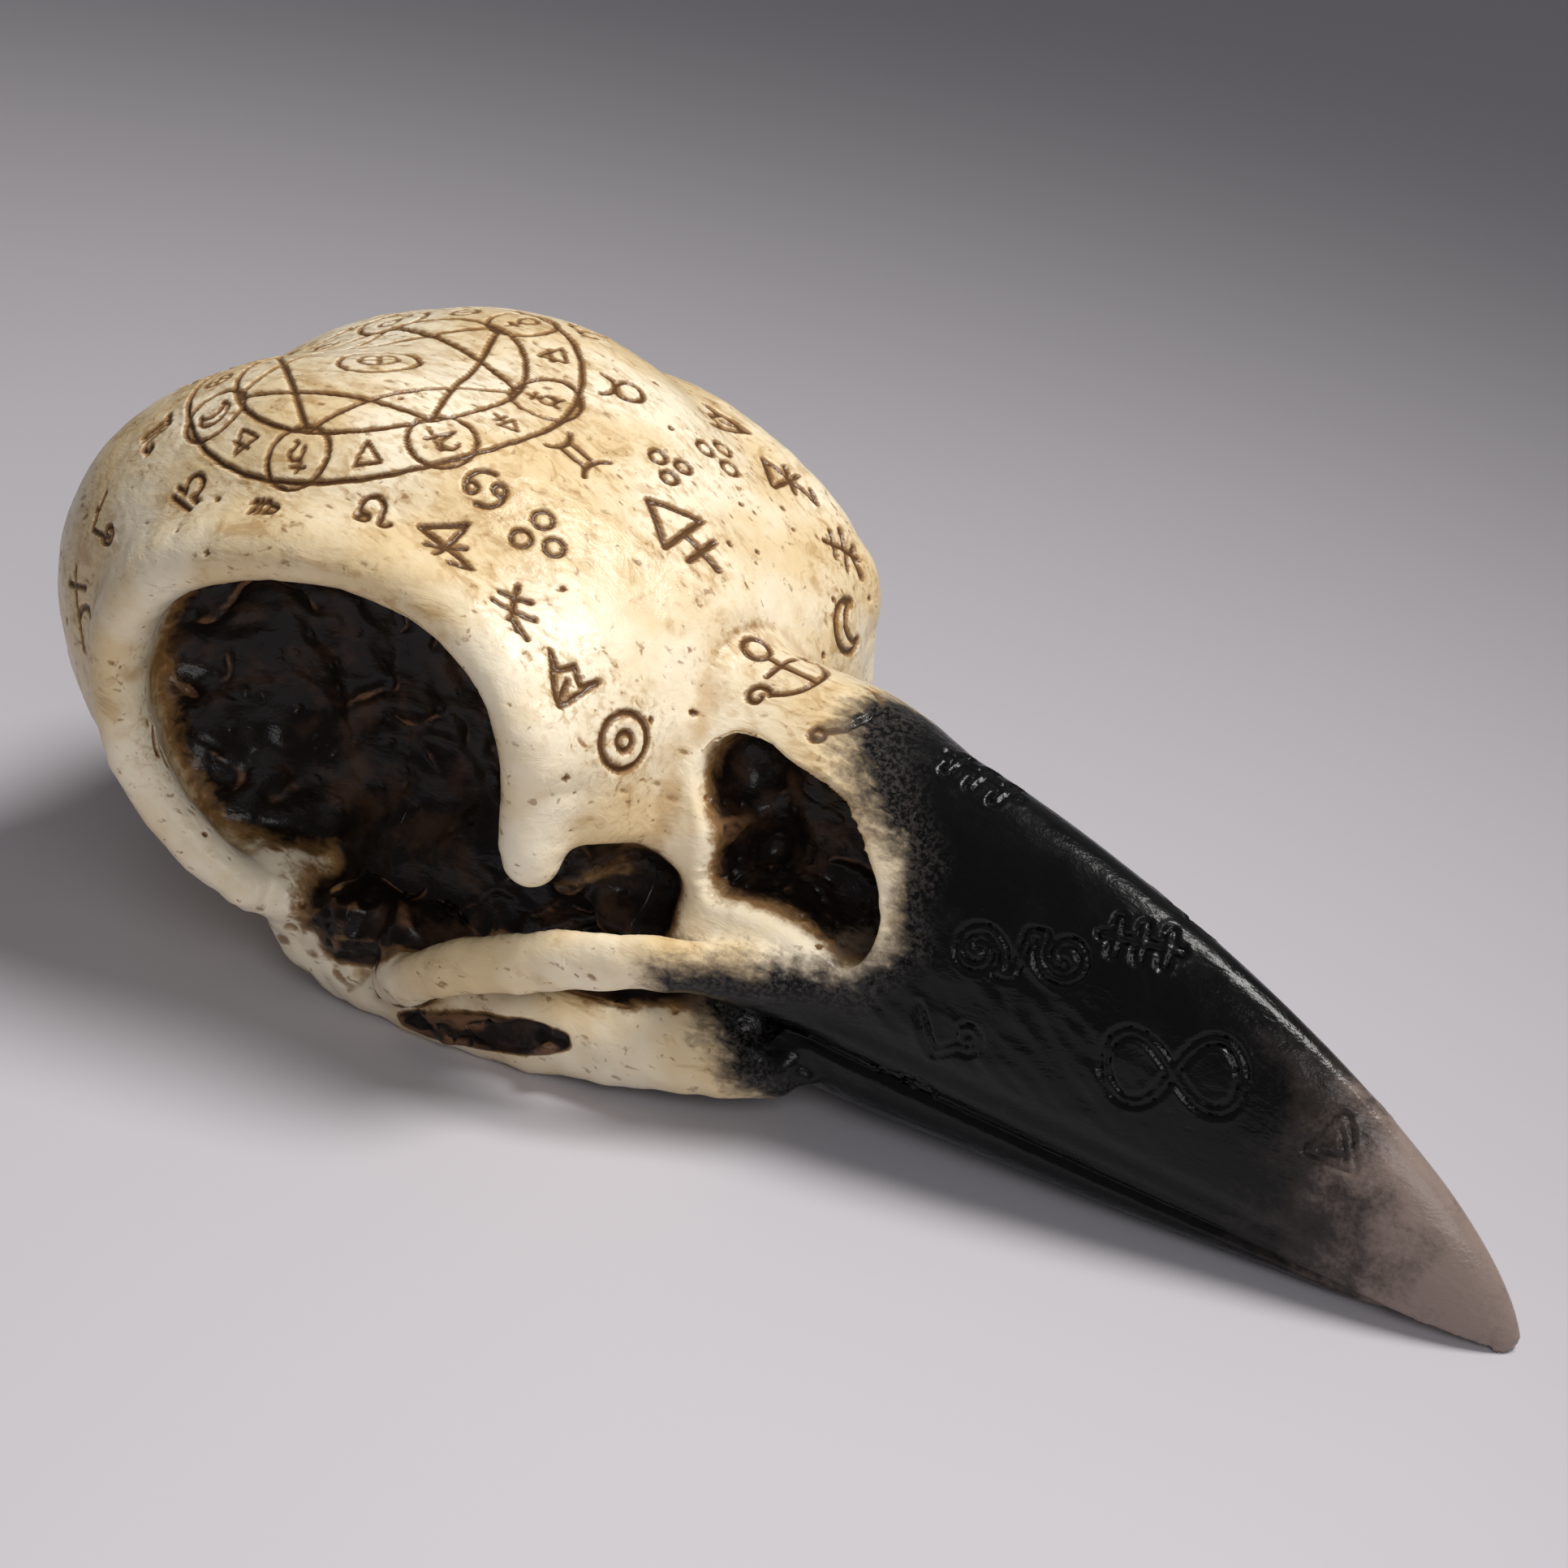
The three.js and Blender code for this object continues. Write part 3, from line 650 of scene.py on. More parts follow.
triangleUp = [(-0.42, -0.36), (0, 0.42), (0.42, -0.36), (-0.42, -0.36)]
triangleDown = [(x, -y) for x, y in triangleUp]
threeLegs = [
    [(-0.46, 0.28), (-0.38, 0.36), (-0.32, 0.24), (-0.32, -0.38)],
    [(-0.32, 0.22), (-0.22, 0.36), (-0.14, 0.24), (-0.14, -0.38)],
]
signs = {
    "ram": [arcOf(-0.2, 0.22, 0.2, 200, 0) + [(0, -0.48)], arcOf(0.2, 0.22, 0.2, -20, 180)],
    "bull": [ringOf(0, -0.16, 0.3), arcOf(0, 0.48, 0.34, 190, 350)],
    "twins": [[(-0.16, -0.36), (-0.16, 0.36)], [(0.16, -0.36), (0.16, 0.36)],
              arcOf(0, 0.95, 0.62, 225, 315), arcOf(0, -0.95, 0.62, 45, 135)],
    "crab": [ringOf(-0.27, 0.13, 0.13), arcOf(0, 0, 0.42, 150, 35),
             ringOf(0.27, -0.13, 0.13), arcOf(0, 0, 0.42, -30, -145)],
    "lion": [ringOf(-0.24, -0.08, 0.13), arcOf(0, 0.16, 0.27, 215, -15) + [(0.12, -0.3)],
             arcOf(0.24, -0.3, 0.12, 180, 340)],
    "maiden": threeLegs + [[(-0.14, 0.22), (-0.04, 0.36), (0.05, 0.24), (0.05, -0.28), (0.18, -0.46)],
                           arcOf(0.14, 0.04, 0.17, 120, -90) + [(-0.04, -0.44)]],
    "scales": [[(-0.45, -0.3), (0.45, -0.3)],
               [(-0.45, -0.08), (-0.14, -0.08)] + arcOf(0, 0.14, 0.25, 235, -55) + [(0.45, -0.08)]],
    "scorpion": threeLegs + [[(-0.14, 0.22), (-0.04, 0.36), (0.05, 0.24), (0.05, -0.28), (0.16, -0.4),
                              (0.3, -0.36), (0.42, -0.18)], [(0.28, -0.2), (0.42, -0.16), (0.46, -0.32)]],
    "archer": [[(-0.4, -0.42), (0.4, 0.42)], [(0.08, 0.42), (0.4, 0.42), (0.4, 0.1)],
               [(-0.32, 0.06), (0.02, -0.3)]],
    "goat": [[(-0.44, 0.34), (-0.3, 0.3), (-0.14, -0.1), (-0.02, 0.32), (0.09, 0.2), (0.09, -0.28),
              (-0.06, -0.46)], ringOf(0.24, -0.18, 0.15)],
    "stream": [wavePair(0.17), wavePair(-0.17)],
    "fishes": [arcOf(-0.62, 0, 0.46, -55, 55), arcOf(0.62, 0, 0.46, 125, 235), [(-0.36, 0), (0.36, 0)]],
    "sun": [ringOf(0, 0, 0.45), ringOf(0, 0, 0.14)],
    "moon": [arcOf(0, 0, 0.44, 50, 310), arcOf(0.23, 0, 0.34, 82, 278)],
    "quicksilver": [ringOf(0, 0.04, 0.2), arcOf(0, 0.42, 0.18, 190, 350), [(0, -0.16), (0, -0.48)],
                    [(-0.16, -0.33), (0.16, -0.33)]],
    "copper": [ringOf(0, 0.2, 0.25), [(0, -0.05), (0, -0.48)], [(-0.19, -0.27), (0.19, -0.27)]],
    "iron": [ringOf(-0.1, -0.12, 0.27), [(0.1, 0.08), (0.42, 0.42)],
             [(0.14, 0.42), (0.42, 0.42), (0.42, 0.14)]],
    "tin": [arcOf(-0.14, 0.2, 0.22, 160, -50) + [(-0.38, -0.14), (0.38, -0.14)],
            [(0.18, 0.36), (0.18, -0.46)]],
    "lead": [[(-0.14, 0.46), (-0.14, -0.28)], [(-0.34, 0.3), (0.08, 0.3)],
             [(-0.14, 0)] + arcOf(0.06, -0.06, 0.19, 140, -50) + [(0.1, -0.36), (0.22, -0.44)]],
    "fire": [triangleUp],
    "air": [triangleUp, [(-0.36, 0.08), (0.36, 0.08)]],
    "rain": [triangleDown],
    "earth": [triangleDown, [(-0.36, -0.08), (0.36, -0.08)]],
    "sulphur": [[(-0.32, 0), (0, 0.48), (0.32, 0), (-0.32, 0)], [(0, 0), (0, -0.48)],
                [(-0.22, -0.24), (0.22, -0.24)]],
    "salt": [ringOf(0, 0, 0.42), [(-0.42, 0), (0.42, 0)]],
    "threeRings": [ringOf(0, 0.3, 0.18), ringOf(-0.3, -0.2, 0.18), ringOf(0.3, -0.2, 0.18)],
    "quartered": [ringOf(0, 0, 0.42), [(-0.42, 0), (0.42, 0)], [(0, -0.42), (0, 0.42)]],
    "endless": [endlessLoop(0.5, 0.72)],
    "scroll": [spiralOf(-0.3, 0.08, 0.2, 0.05, -60, 420), spiralOf(0.3, -0.08, 0.2, 0.05, 120, 600),
               [(-0.2, -0.09), (-0.1, -0.13), (0, 0), (0.1, 0.13), (0.2, 0.09)]],
    "crook": [[(-0.45, 0.3), (-0.2, -0.3), (0.15, -0.1)] + spiralOf(0.27, 0.06, 0.2, 0.05, 230, 700)],
    "anchor": [ringOf(0, 0.36, 0.12), [(0, 0.24), (0, -0.3)], arcOf(0, 0.02, 0.36, 200, 340),
               spiralOf(-0.42, 0.02, 0.12, 0.04, -60, 300), spiralOf(0.42, 0.02, 0.12, 0.04, 240, -120),
               [(-0.2, 0.08), (0.2, 0.08)]],
    "hook": [ringOf(-0.5, 0.18, 0.07),
             [(-0.44, 0.14), (-0.3, -0.02), (0, -0.12), (0.3, -0.04), (0.46, 0.2)]],
    "ladder": [[(-0.46, 0), (0.46, 0)]] + [[(x, -0.2), (x, 0.2)] for x in (-0.3, 0, 0.3)],
    "hourglass": [[(-0.34, 0.42), (0.34, 0.42), (-0.34, -0.42), (0.34, -0.42), (-0.34, 0.42)],
                  [(-0.3, 0), (0.3, 0)]],
    "doubleCross": [[(0, 0.46), (0, -0.46)], [(-0.24, 0.24), (0.24, 0.24)], [(-0.36, -0.04), (0.36, -0.04)],
                    [(-0.26, -0.46), (0, -0.22), (0.26, -0.46)]],
    "lamp": [triangleDown[:3], [(-0.42, 0.36), (-0.2, 0.14), (0, 0.36), (0.2, 0.14), (0.42, 0.36)],
             [(0, -0.42), (0, 0.1)]],
    "chevrons": [[(-0.4, y - 0.16), (0, y + 0.16), (0.4, y - 0.16)] for y in (-0.22, 0.08, 0.38)],
}
zodiac = [
    "goat", "stream", "fishes", "ram", "bull", "twins",
    "crab", "lion", "maiden", "scales", "scorpion", "archer",
]

engravingValues = {
    "ringCentre": (33.5, -8.5, 95),
    "ringRadii": (28, 20.2),
    "ringCircle": 4.9,
    "starPoints": 7,
    "zodiacRadius": 33.6,
    "zodiacSize": 6.8,
    "boneGroove": 0.95,
    "circleGroove": 0.85,
    "fineGroove": 0.7,
    "boneDepth": 0.55,
    "fineDepth": 0.38,
    "lipHeight": 0.09,  # of the rim that the cutter throws up beside a groove
    "haloReach": 4.5,  # how far the stain spreads round a sign
    "handWobble": 0.22,
    "hubRadius": 5.6,
    "billGroove": 0.9,
    "billDepth": 0.62,
    "lineApart": 0.6,  # the bill's signs are cut as two lines, this far off their middle
    "lineWidth": 0.27,
    "spacing": 0.22,
}


# One drawn group: strokes in millimetres round an anchor point, with the direction that is up.
def drawing(strokes, at, up=(0, 0, 1), turn=0, size=1.0, shift=(0, 0), width=None, depth=None):
    angle = math.radians(turn)
    moved = []
    for stroke in strokes:
        s = np.array(stroke, float) * size
        s = np.stack([s[:, 0] * math.cos(angle) - s[:, 1] * math.sin(angle),
                      s[:, 0] * math.sin(angle) + s[:, 1] * math.cos(angle)], 1) + np.array(shift)
        moved.append(s)
    return {
        "strokes": moved, "at": at, "up": up,
        "width": width or engravingValues["boneGroove"], "depth": depth or engravingValues["boneDepth"],
    }


def crownRing():
    e = engravingValues
    up = (-1, 0, 0)
    outer, inner = e["ringRadii"]
    fine = {"width": e["fineGroove"], "depth": e["fineDepth"]}
    drawn = [
        drawing([ringOf(0, 0, outer)], e["ringCentre"], up),
        drawing([ringOf(0, 0, inner)], e["ringCentre"], up, width=e["circleGroove"]),
        drawing([ringOf(0, 0, e["hubRadius"])], e["ringCentre"], up, width=e["circleGroove"]),
        drawing(signs["quartered"], e["ringCentre"], up, size=6.4, turn=45, **fine),
    ]

    def spotAt(radius, angle):
        return radius * math.sin(angle), radius * math.cos(angle)

    count = e["starPoints"]
    points = [spotAt(inner, 2 * math.pi * i / count) for i in range(count)]
    for i in range(count):
        drawn.append(drawing([[points[i], points[(i + 2) % count]]], e["ringCentre"], up, width=0.95))
    middle = (outer + inner) / 2
    inCircles = ["sun", "iron", "copper", "quicksilver", "tin", "lead", "moon"]
    between = ["fire", "salt", "earth", "sulphur", "rain", "air", "quartered"]
    for i in range(count):
        for share, names, size in ((0, inCircles, 5.4), (0.5, between, 4.6)):
            angle = 2 * math.pi * (i + share) / count
            spot = spotAt(middle, angle)
            turn = -math.degrees(angle)
            drawn.append(drawing(signs[names[i]], e["ringCentre"], up, turn, size, spot, **fine))
            if share == 0:
                circle = [ringOf(*spot, e["ringCircle"])]
                drawn.append(drawing(circle, e["ringCentre"], up, width=e["circleGroove"]))
    for i, name in enumerate(zodiac):
        angle = 2 * math.pi * (i + 0.69) / len(zodiac)
        spot = spotAt(e["zodiacRadius"], angle)
        turn = -math.degrees(angle) + 180
        drawn.append(drawing(signs[name], e["ringCentre"], up, turn, e["zodiacSize"], spot))
    return drawn


def sideSigns(side):
    right = side < 0
    onBrow = ["hourglass", "doubleCross", "lamp"] if right else ["lamp", "hourglass", "doubleCross"]
    spots = [(64, 28.8, 80), (75, 28.5, 74), (83.5, 28.5, 66)]
    drawn = []
    for i, (name, (x, y, z)) in enumerate(zip(onBrow, spots)):
        turn = side * (-10 + 22 * i)
        drawn.append(drawing(signs[name], (x, side * y, z), turn=turn, size=9, width=1.05))
    drawn += [
        drawing(signs["threeRings"], (71.5, side * 18.5, 81.5), turn=side * 30, size=7.4, width=0.9),
        drawing(signs["sun" if right else "moon"], (88, side * 23.5, 58.2), size=8.4, width=1.15),
        drawing(signs["lead" if right else "tin"], (2.5, side * 38, 57), turn=side * -14, size=16),
        drawing(signs["crook"], (5, side * 37, 72), turn=side * 25, size=8.5, width=0.9),
        drawing(signs["scroll"], (-9, side * 30, 42), turn=side * 35, size=13),
        drawing(signs["moon" if right else "sun"], (-14, side * 15, 68), size=10),
        drawing(signs["chevrons"], (14, side * 40, 40), turn=side * 10, size=8),
    ]
    return drawn


def billSigns(side):
    e = engravingValues
    bare = {"width": e["billGroove"], "depth": e["billDepth"]}
    along = (-0.35, 0, 1)
    right = side < 0
    return [
        drawing(signs["scroll"], (144, side * 11, 40), along, side * -4, 19, **bare),
        drawing(signs["endless" if right else "crook"], (166, side * 9, 30), along, side * 12, 18, **bare),
        drawing(signs["crook" if right else "chevrons"], (136, side * 15, 27), along, side * 20, 10, **bare),
        drawing(signs["fire" if right else "rain"], (187, side * 4.5, 26), along, side * 30, 7, **bare),
        drawing(signs["ladder"], (158, side * 5, 44), along, side * 25, 11, **bare),
        drawing(signs["scroll"], (128, side * 15, 13), along, side * 12, 10, **bare),
    ]


def allDrawings():
    e = engravingValues
    drawn = crownRing()
    drawn.append(drawing(signs["sulphur"], (80, 0, 77), (-1, 0, 1), 8, 14, width=1.25))
    drawn.append(drawing(signs["threeRings"], (72, 7, 83), (-1, 0, 1), 10, 6.6, width=0.9))
    drawn.append(drawing(signs["anchor"], (99, -1, 65), (-1, 0, 0.3), 0, 15, width=1.05))
    drawn.append(drawing(signs["hook"], (112, -2, 61), (-1, 0, 0.3), 0, 13, width=1.05))
    drawn.append(drawing(signs["chevrons"], (-20, 0, 60), size=10))
    bare = {"width": e["billGroove"], "depth": e["billDepth"]}
    drawn.append(drawing(signs["ladder"], (130, 0, 57), (0, 1, 0), 0, 13, **bare))
    for side in (-1, 1):
        drawn += sideSigns(side) + billSigns(side)
    return drawn


# Lays every stroke on the skin: each sample walks out from its anchor along the surface.
def layStrokes(drawn, steps=16):
    anchors, ways, distances, widths, depths = [], [], [], [], []
    for d in drawn:
        anchor = settle(np.array([d["at"]], float), skinField, 12, 2.0)
        normal = gradientOf(skinField, anchor, skinField(anchor))[0]
        normal /= np.linalg.norm(normal)
        up = np.array(d["up"], float)
        up -= normal * (up @ normal)
        up /= np.linalg.norm(up)
        across = np.cross(up, normal)
        for stroke in d["strokes"]:
            lengths = np.linalg.norm(np.diff(stroke, axis=0), axis=1)
            at = np.concatenate([[0], np.cumsum(lengths)])
            fine = np.linspace(0, at[-1], max(2, int(at[-1] / engravingValues["spacing"])))
            a, b = np.interp(fine, at, stroke[:, 0]), np.interp(fine, at, stroke[:, 1])
            distance = np.maximum(np.hypot(a, b), 1e-6)
            anchors.append(np.repeat(anchor, len(fine), 0))
            ways.append((a / distance)[:, None] * across + (b / distance)[:, None] * up)
            distances.append(distance)
            widths.append(np.full(len(fine), d["width"]))
            depths.append(np.full(len(fine), d["depth"]))
    p, way, distance = np.concatenate(anchors), np.concatenate(ways), np.concatenate(distances)
    for _ in range(steps):
        p = p + way * (distance / steps)[:, None]
        f = skinField(p)
        g = gradientOf(skinField, p, f)
        size = (g * g).sum(1)
        p = p - (f / size)[:, None] * g
        way = way - g * ((way * g).sum(1) / size)[:, None]
        way /= np.maximum(np.linalg.norm(way, axis=1), 1e-9)[:, None]
    return settle(p, castingField, 2, 1.0), np.concatenate(widths), np.concatenate(depths)


def nearestOf(points, targets):
    tree = kdtree.KDTree(len(targets))
    for i, target in enumerate(targets):
        tree.insert(target, i)
    tree.balance()
    found = [tree.find(p)[1:] for p in points]
    return np.array([f[0] for f in found]), np.array([f[1] for f in found])


strokePoints, strokeWidths, strokeDepths = layStrokes(allDrawings())
sayStage(f"signs drawn with {len(strokePoints)} points")

x, y, z = form[:, 0], np.abs(form[:, 1]), form[:, 2]
mirrored = np.stack([x, y, z], 1)
depthBelowSkin = -skinField(form)

engraved = np.zeros(len(form))
stain = np.zeros(len(form))
outer = np.where(depthBelowSkin < 1.5)[0]
which, distance = nearestOf(form[outer], strokePoints)
handCut = 1 + engravingValues["handWobble"] * noiseAt(form[outer], 3.5, 11)
half = strokeWidths[which] / 2 * handCut
t = distance / half
onBill = strokeDepths[which] == engravingValues["billDepth"]
groove = -strokeDepths[which] * np.clip(1 - t**2, 0, 1) ** 0.8
lip = engravingValues["lipHeight"] * np.exp(-(((t - 1.55) / 0.4) ** 2))
offLine = (distance - engravingValues["lineApart"]) / engravingValues["lineWidth"]
doubleLine = -strokeDepths[which] * np.exp(-(offLine**2))
doubleLine += 0.12 * np.exp(-(((distance - 1.3) / 0.3) ** 2))
engraved[outer] = np.where(onBill, doubleLine, groove + lip)
halo = np.zeros(len(form))
halo[outer] = np.where(onBill, 0, np.exp(-((distance / engravingValues["haloReach"]) ** 2)))
stain[outer] = np.where(onBill, 0, smoothStep(1.2, 0.45, t) + 0.2 * smoothStep(2.6, 1.1, t))
sayStage("signs engraved")


# hollow walls, pits and brush marks
surfaceValues = {
    "pitCount": 900,
    "pitRadius": (0.4, 0.7),
    "pitDepth": 0.55,
    "fleckCount": 2600,
    "fleckDepth": (0.04, 0.16),
    "wallDepth": (1.5, 6),  # how far into a hollow its webs begin and are full
    "webHeight": 2.4,
    "webSize": 24,
    "webWarp": 7,
    "webWidth": 0.34,
    "fineWebSize": 8.5,
    "fineWebWidth": 0.26,
    "swell": 1.9,
    "unevenness": 0.3,
}
# where the cheek's inner parts are darkened, partly dark paint and partly painted shade deep behind the
# cheek: half widths of the cheek along x
cheek = {
    "side": [(22, -8), (30, 16), (40, 32), (85, 32), (100, 25), (112, 10), (116, -8)],
    "paintAndShadeFrom": 4.5,
    "knucklePaintAndShade": 8,
    "slotPaintAndShade": 9,
    "backSlope": 1.3,
    "backFade": 0.75,
    "backEdge": [
        (15, 49), (16.6, 41.5), (20, 34.8), (24.8, 29.4), (30, 25.6),
        (34, 22), (35, 15.5), (41, 13.7), (48, 13),
    ],
}
draws = np.random.default_rng(41)


# Distance to a line in the side view that runs downwards, positive in front of it.
def edgeDistance(points, px, pz):
    line = np.array(points, float)
    best = np.full(len(px), farAway)
    for a, b in zip(line[:-1], line[1:]):
        along = b - a
        t = np.clip(((px - a[0]) * along[0] + (pz - a[1]) * along[1]) / (along @ along), 0, 1)
        best = np.minimum(best, np.hypot(px - a[0] - t * along[0], pz - a[1] - t * along[1]))
    edgeX = np.interp(pz, line[::-1, 1], line[::-1, 0])
    return np.where(px > edgeX, best, -best)


edgedRods = ("rim", "lacrimal", "jugal", "jaw", "quadrate")
toRod = {name: rodField(mirrored, rods[name]) for name in edgedRods}
struts = np.minimum(np.minimum(toRod["jugal"], toRod["jaw"]), toRod["lacrimal"])
clearOfStruts = (struts - 0.1) * 5
# how dark a point is painted: the hollows' dark paint, with painted shade deep in recesses and behind the
# struts
hollowDepth = np.minimum(depthBelowSkin, clearOfStruts)
slot = hollowField(x, y, z, jawSlot)
onJaw = (toRod["jaw"] < 2) & (slot < 1)
inSlot = np.maximum(hollowDepth, cheek["slotPaintAndShade"] - cheek["slotPaintAndShade"] * np.clip(slot, 0, 1))
hollowDepth = np.where(onJaw, inSlot, hollowDepth)
# painted shade, together with dark paint, far inside the cheek and round the quadrate's knuckles
cheekSide = np.interp(x, *np.transpose(cheek["side"]))
inward = (cheekSide - y - cheek["paintAndShadeFrom"]) * smoothStep(36, 30, z)
knuckles = cheek["knucklePaintAndShade"] * smoothStep(37, 43, x) * smoothStep(11, 14, z)
knuckles *= smoothStep(2, 0.5, toRod["quadrate"])
behind = np.minimum(np.maximum(inward, knuckles), clearOfStruts)
hollowDepth = np.where(onJaw, hollowDepth, np.maximum(hollowDepth, behind))
# painted shade, together with dark paint, on the inner side behind the socket's rim
backShade = cheek["backSlope"] * edgeDistance(cheek["backEdge"], x, z)
backShade = backShade * smoothStep(54, 46, z) * smoothStep(66, 58, x) * (y > 14)
clearOfRim = (toRod["rim"] - 0.4 + 1.8 * smoothStep(24, 31, x)) * 2.5
backShade = np.minimum(backShade, np.minimum(clearOfStruts, clearOfRim))
hollowDepth = np.where(onJaw, hollowDepth, np.maximum(hollowDepth, backShade))

fading = np.minimum(hollowDepth, (toRod["rim"] - 0.6) * cheek["backFade"])
hollowDepth += (fading - hollowDepth) * smoothStep(38, 28, x) * smoothStep(22, 30, z)
inside = smoothStep(*surfaceValues["wallDepth"], hollowDepth)
warp = np.stack([noiseAt(form, 13, 21 + k) for k in range(3)], 1) * surfaceValues["webWarp"]
folds = np.abs(noiseAt(form + warp, surfaceValues["webSize"], 31))
patchy = smoothStep(-0.05, 0.3, noiseAt(form, 15, 35))
broadFolds = 0.75 * np.clip(1 - folds / surfaceValues["webWidth"], 0, 1) ** 2
sharpFolds = 0.25 * np.clip(1 - folds / 0.09, 0, 1)
webs = (broadFolds + sharpFolds) * (0.15 + 0.85 * patchy)
fineFolds = np.abs(noiseAt(form + 0.6 * warp, surfaceValues["fineWebSize"], 36))
finePlaces = smoothStep(0.1, -0.2, noiseAt(form, 12, 38))
fineWebs = 0.3 * np.clip(1 - fineFolds / surfaceValues["fineWebWidth"], 0, 1) ** 2 * finePlaces
webs = np.maximum(webs, fineWebs)
swells = noiseAt(form, 10, 33) + 0.3 * noiseAt(form, 4, 34)
web = inside * (surfaceValues["webHeight"] * webs + surfaceValues["swell"] * swells - 0.3)

bone = 1 - smoothStep(1, 4, x - 125)
uneven = surfaceValues["unevenness"] * (noiseAt(form, 17, 51) + 0.45 * noiseAt(form, 6, 52))
uneven *= 1 - 0.7 * (1 - bone)
strut = np.minimum(toRod["jaw"], toRod["jugal"])
uneven += bone * (0.07 * noiseAt(form, 2.6, 55) + 0.05 * noiseAt(form, 1.4, 56))
uneven += smoothStep(1.5, 0, strut) * (0.45 * noiseAt(form, 4.5, 53) + 0.5 * noiseAt(form, 9, 54))
knobbly = smoothStep(56, 40, x) * smoothStep(26, 20, z) * smoothStep(22, 27, y)
uneven += knobbly * (0.9 * np.abs(noiseAt(form, 5.5, 57)) + 0.5 * noiseAt(form, 2.8, 58))
stain = np.maximum(stain, 0.5 * knobbly * smoothStep(0, -0.35, noiseAt(form, 2.8, 58)))

openPits = 0.02 + 0.2 * (noiseAt(form, 14, 61) > 0.25)
pitWeight = np.where(inside > 0.3, 0.8 + 2.4 * smoothStep(94, 98, x), openPits) * bone
pitPicks = draws.choice(len(form), surfaceValues["pitCount"], p=pitWeight / pitWeight.sum())
pitSizes = draws.uniform(*surfaceValues["pitRadius"], len(pitPicks))
which, distance = nearestOf(form, form[pitPicks])
t = distance / pitSizes[which]
pits = -surfaceValues["pitDepth"] * np.clip(1 - t**2, 0, 1)
stain = np.maximum(stain, smoothStep(1.15, 0.6, t) * 0.9)
sayStage("pits set")

fleckWeight = (depthBelowSkin < 2) * bone * (0.25 + np.clip(noiseAt(form, 12, 71) + 0.15, 0, 1))
fleckPicks = draws.choice(len(form), surfaceValues["fleckCount"], p=fleckWeight / fleckWeight.sum())
fleckLong = 0.45 + 0.9 * draws.random(len(fleckPicks)) ** 2
fleckWide = fleckLong * draws.uniform(0.28, 0.5, len(fleckPicks))
fleckDeep = draws.uniform(*surfaceValues["fleckDepth"], len(fleckPicks))
stray = np.stack([noiseAt(form[fleckPicks], 22, 81 + k) for k in range(3)], 1)
run = np.array([1.0, 0.25, -0.35]) + 0.8 * stray
fleckOut = outwards[fleckPicks]
run -= fleckOut * (run * fleckOut).sum(1)[:, None]
run /= np.linalg.norm(run, axis=1)[:, None]
which, distance = nearestOf(form, form[fleckPicks])
off = form - form[fleckPicks][which]
lengthwise = (off * run[which]).sum(1)
sideOff = np.sqrt(np.maximum((off * off).sum(1) - lengthwise**2, 0))
t = np.sqrt((lengthwise / fleckLong[which]) ** 2 + (sideOff / fleckWide[which]) ** 2)
flecks = -fleckDeep[which] * np.clip(1 - t**2, 0, 1)
fleckStain = smoothStep(1.2, 0.3, t) * fleckDeep[which] / surfaceValues["fleckDepth"][1]
fleckStain = fleckStain * (depthBelowSkin < 2)
stain = np.maximum(stain, fleckStain * 0.6)
sayStage("flecks set")


# the bill's own surface
billValues = {
    "ledgeHeight": 0.17,  # share of the bill's height at which the ledge above its edge runs
    "ledgeDepth": 0.5,
    "ledgeWidth": 0.045,
    "seamDepth": 1.0,
    "seamWidth": 0.7,
    "roughHeight": 0.3,
    "paintEdge": [  # of the black paint in the side view, from the culmen to the jaw, as (x, z)
        (110, 80), (112, 61), (119.5, 55), (127, 47), (128, 38), (122, 31),
        (107, 30.3), (99, 28.5), (98, 22), (104, 16), (111, 8),
    ],
}
edgeHeight = bitingEdge(x)
upShare = (z - edgeHeight) / np.maximum(culmenHeight(x) - edgeHeight, 1)
onSheath = smoothStep(104, 114, x) * smoothStep(196, 180, x)
offLedge = (upShare - billValues["ledgeHeight"]) / billValues["ledgeWidth"]
ledge = -billValues["ledgeDepth"] * np.exp(-(offLedge**2)) * onSheath
roughPatch = smoothStep(118, 126, x) * smoothStep(172, 156, x) * smoothStep(0.2, 0.28, upShare)
roughPatch *= smoothStep(0.78, 0.6, upShare) * (y > 2)
slanted = np.stack([x * 0.6 + z * 0.8, y, (z * 0.6 - x * 0.8) * 0.35], 1)
rough = roughPatch * billValues["roughHeight"] * (noiseAt(slanted, 1.9, 91) + 0.8 * noiseAt(form, 4, 92))

offSeam = (z - edgeHeight - 0.2) / billValues["seamWidth"]
seam = -billValues["seamDepth"] * np.exp(-(offSeam**2)) * smoothStep(108, 114, x) * (x < 209)

crease = {
    "path": [(97, 19, 50), (94.5, 13, 59), (91.8, 6, 66.2), (91, 0, 67.2)],
    "depth": 0.9, "width": 1.7, "wide": 4.5, "stainWidth": 1.1,
}
creaseLine = curveThrough(crease["path"], 12)
toCrease = rodField(mirrored, makeRod(creaseLine, np.full(12, 0.3), np.full(12, 0.3), 6)) + 0.3
fold = np.exp(-((toCrease / crease["width"]) ** 2)) + 0.4 * np.exp(-((toCrease / crease["wide"]) ** 2))
fold *= -crease["depth"]
stain = np.maximum(stain, 0.42 * np.exp(-((toCrease / crease["stainWidth"]) ** 2)))

moved = web + uneven + seam + fold + (pits + flecks) * (1 - 0.2 * inside) + engraved + ledge + rough
form = form + outwards * moved[:, None]
form = relax(form, edges, 1, 0.25)
table = toTable(form)
table[:, 2] = np.maximum(table[:, 2], 0)
writePoints(casting, table)

smoothed = relax(form, edges, 12)
fineHollow = ((smoothed - form) * outwards).sum(1)
broad = relax(smoothed, edges, 30)
broadHollow = ((broad - form) * outwards).sum(1)
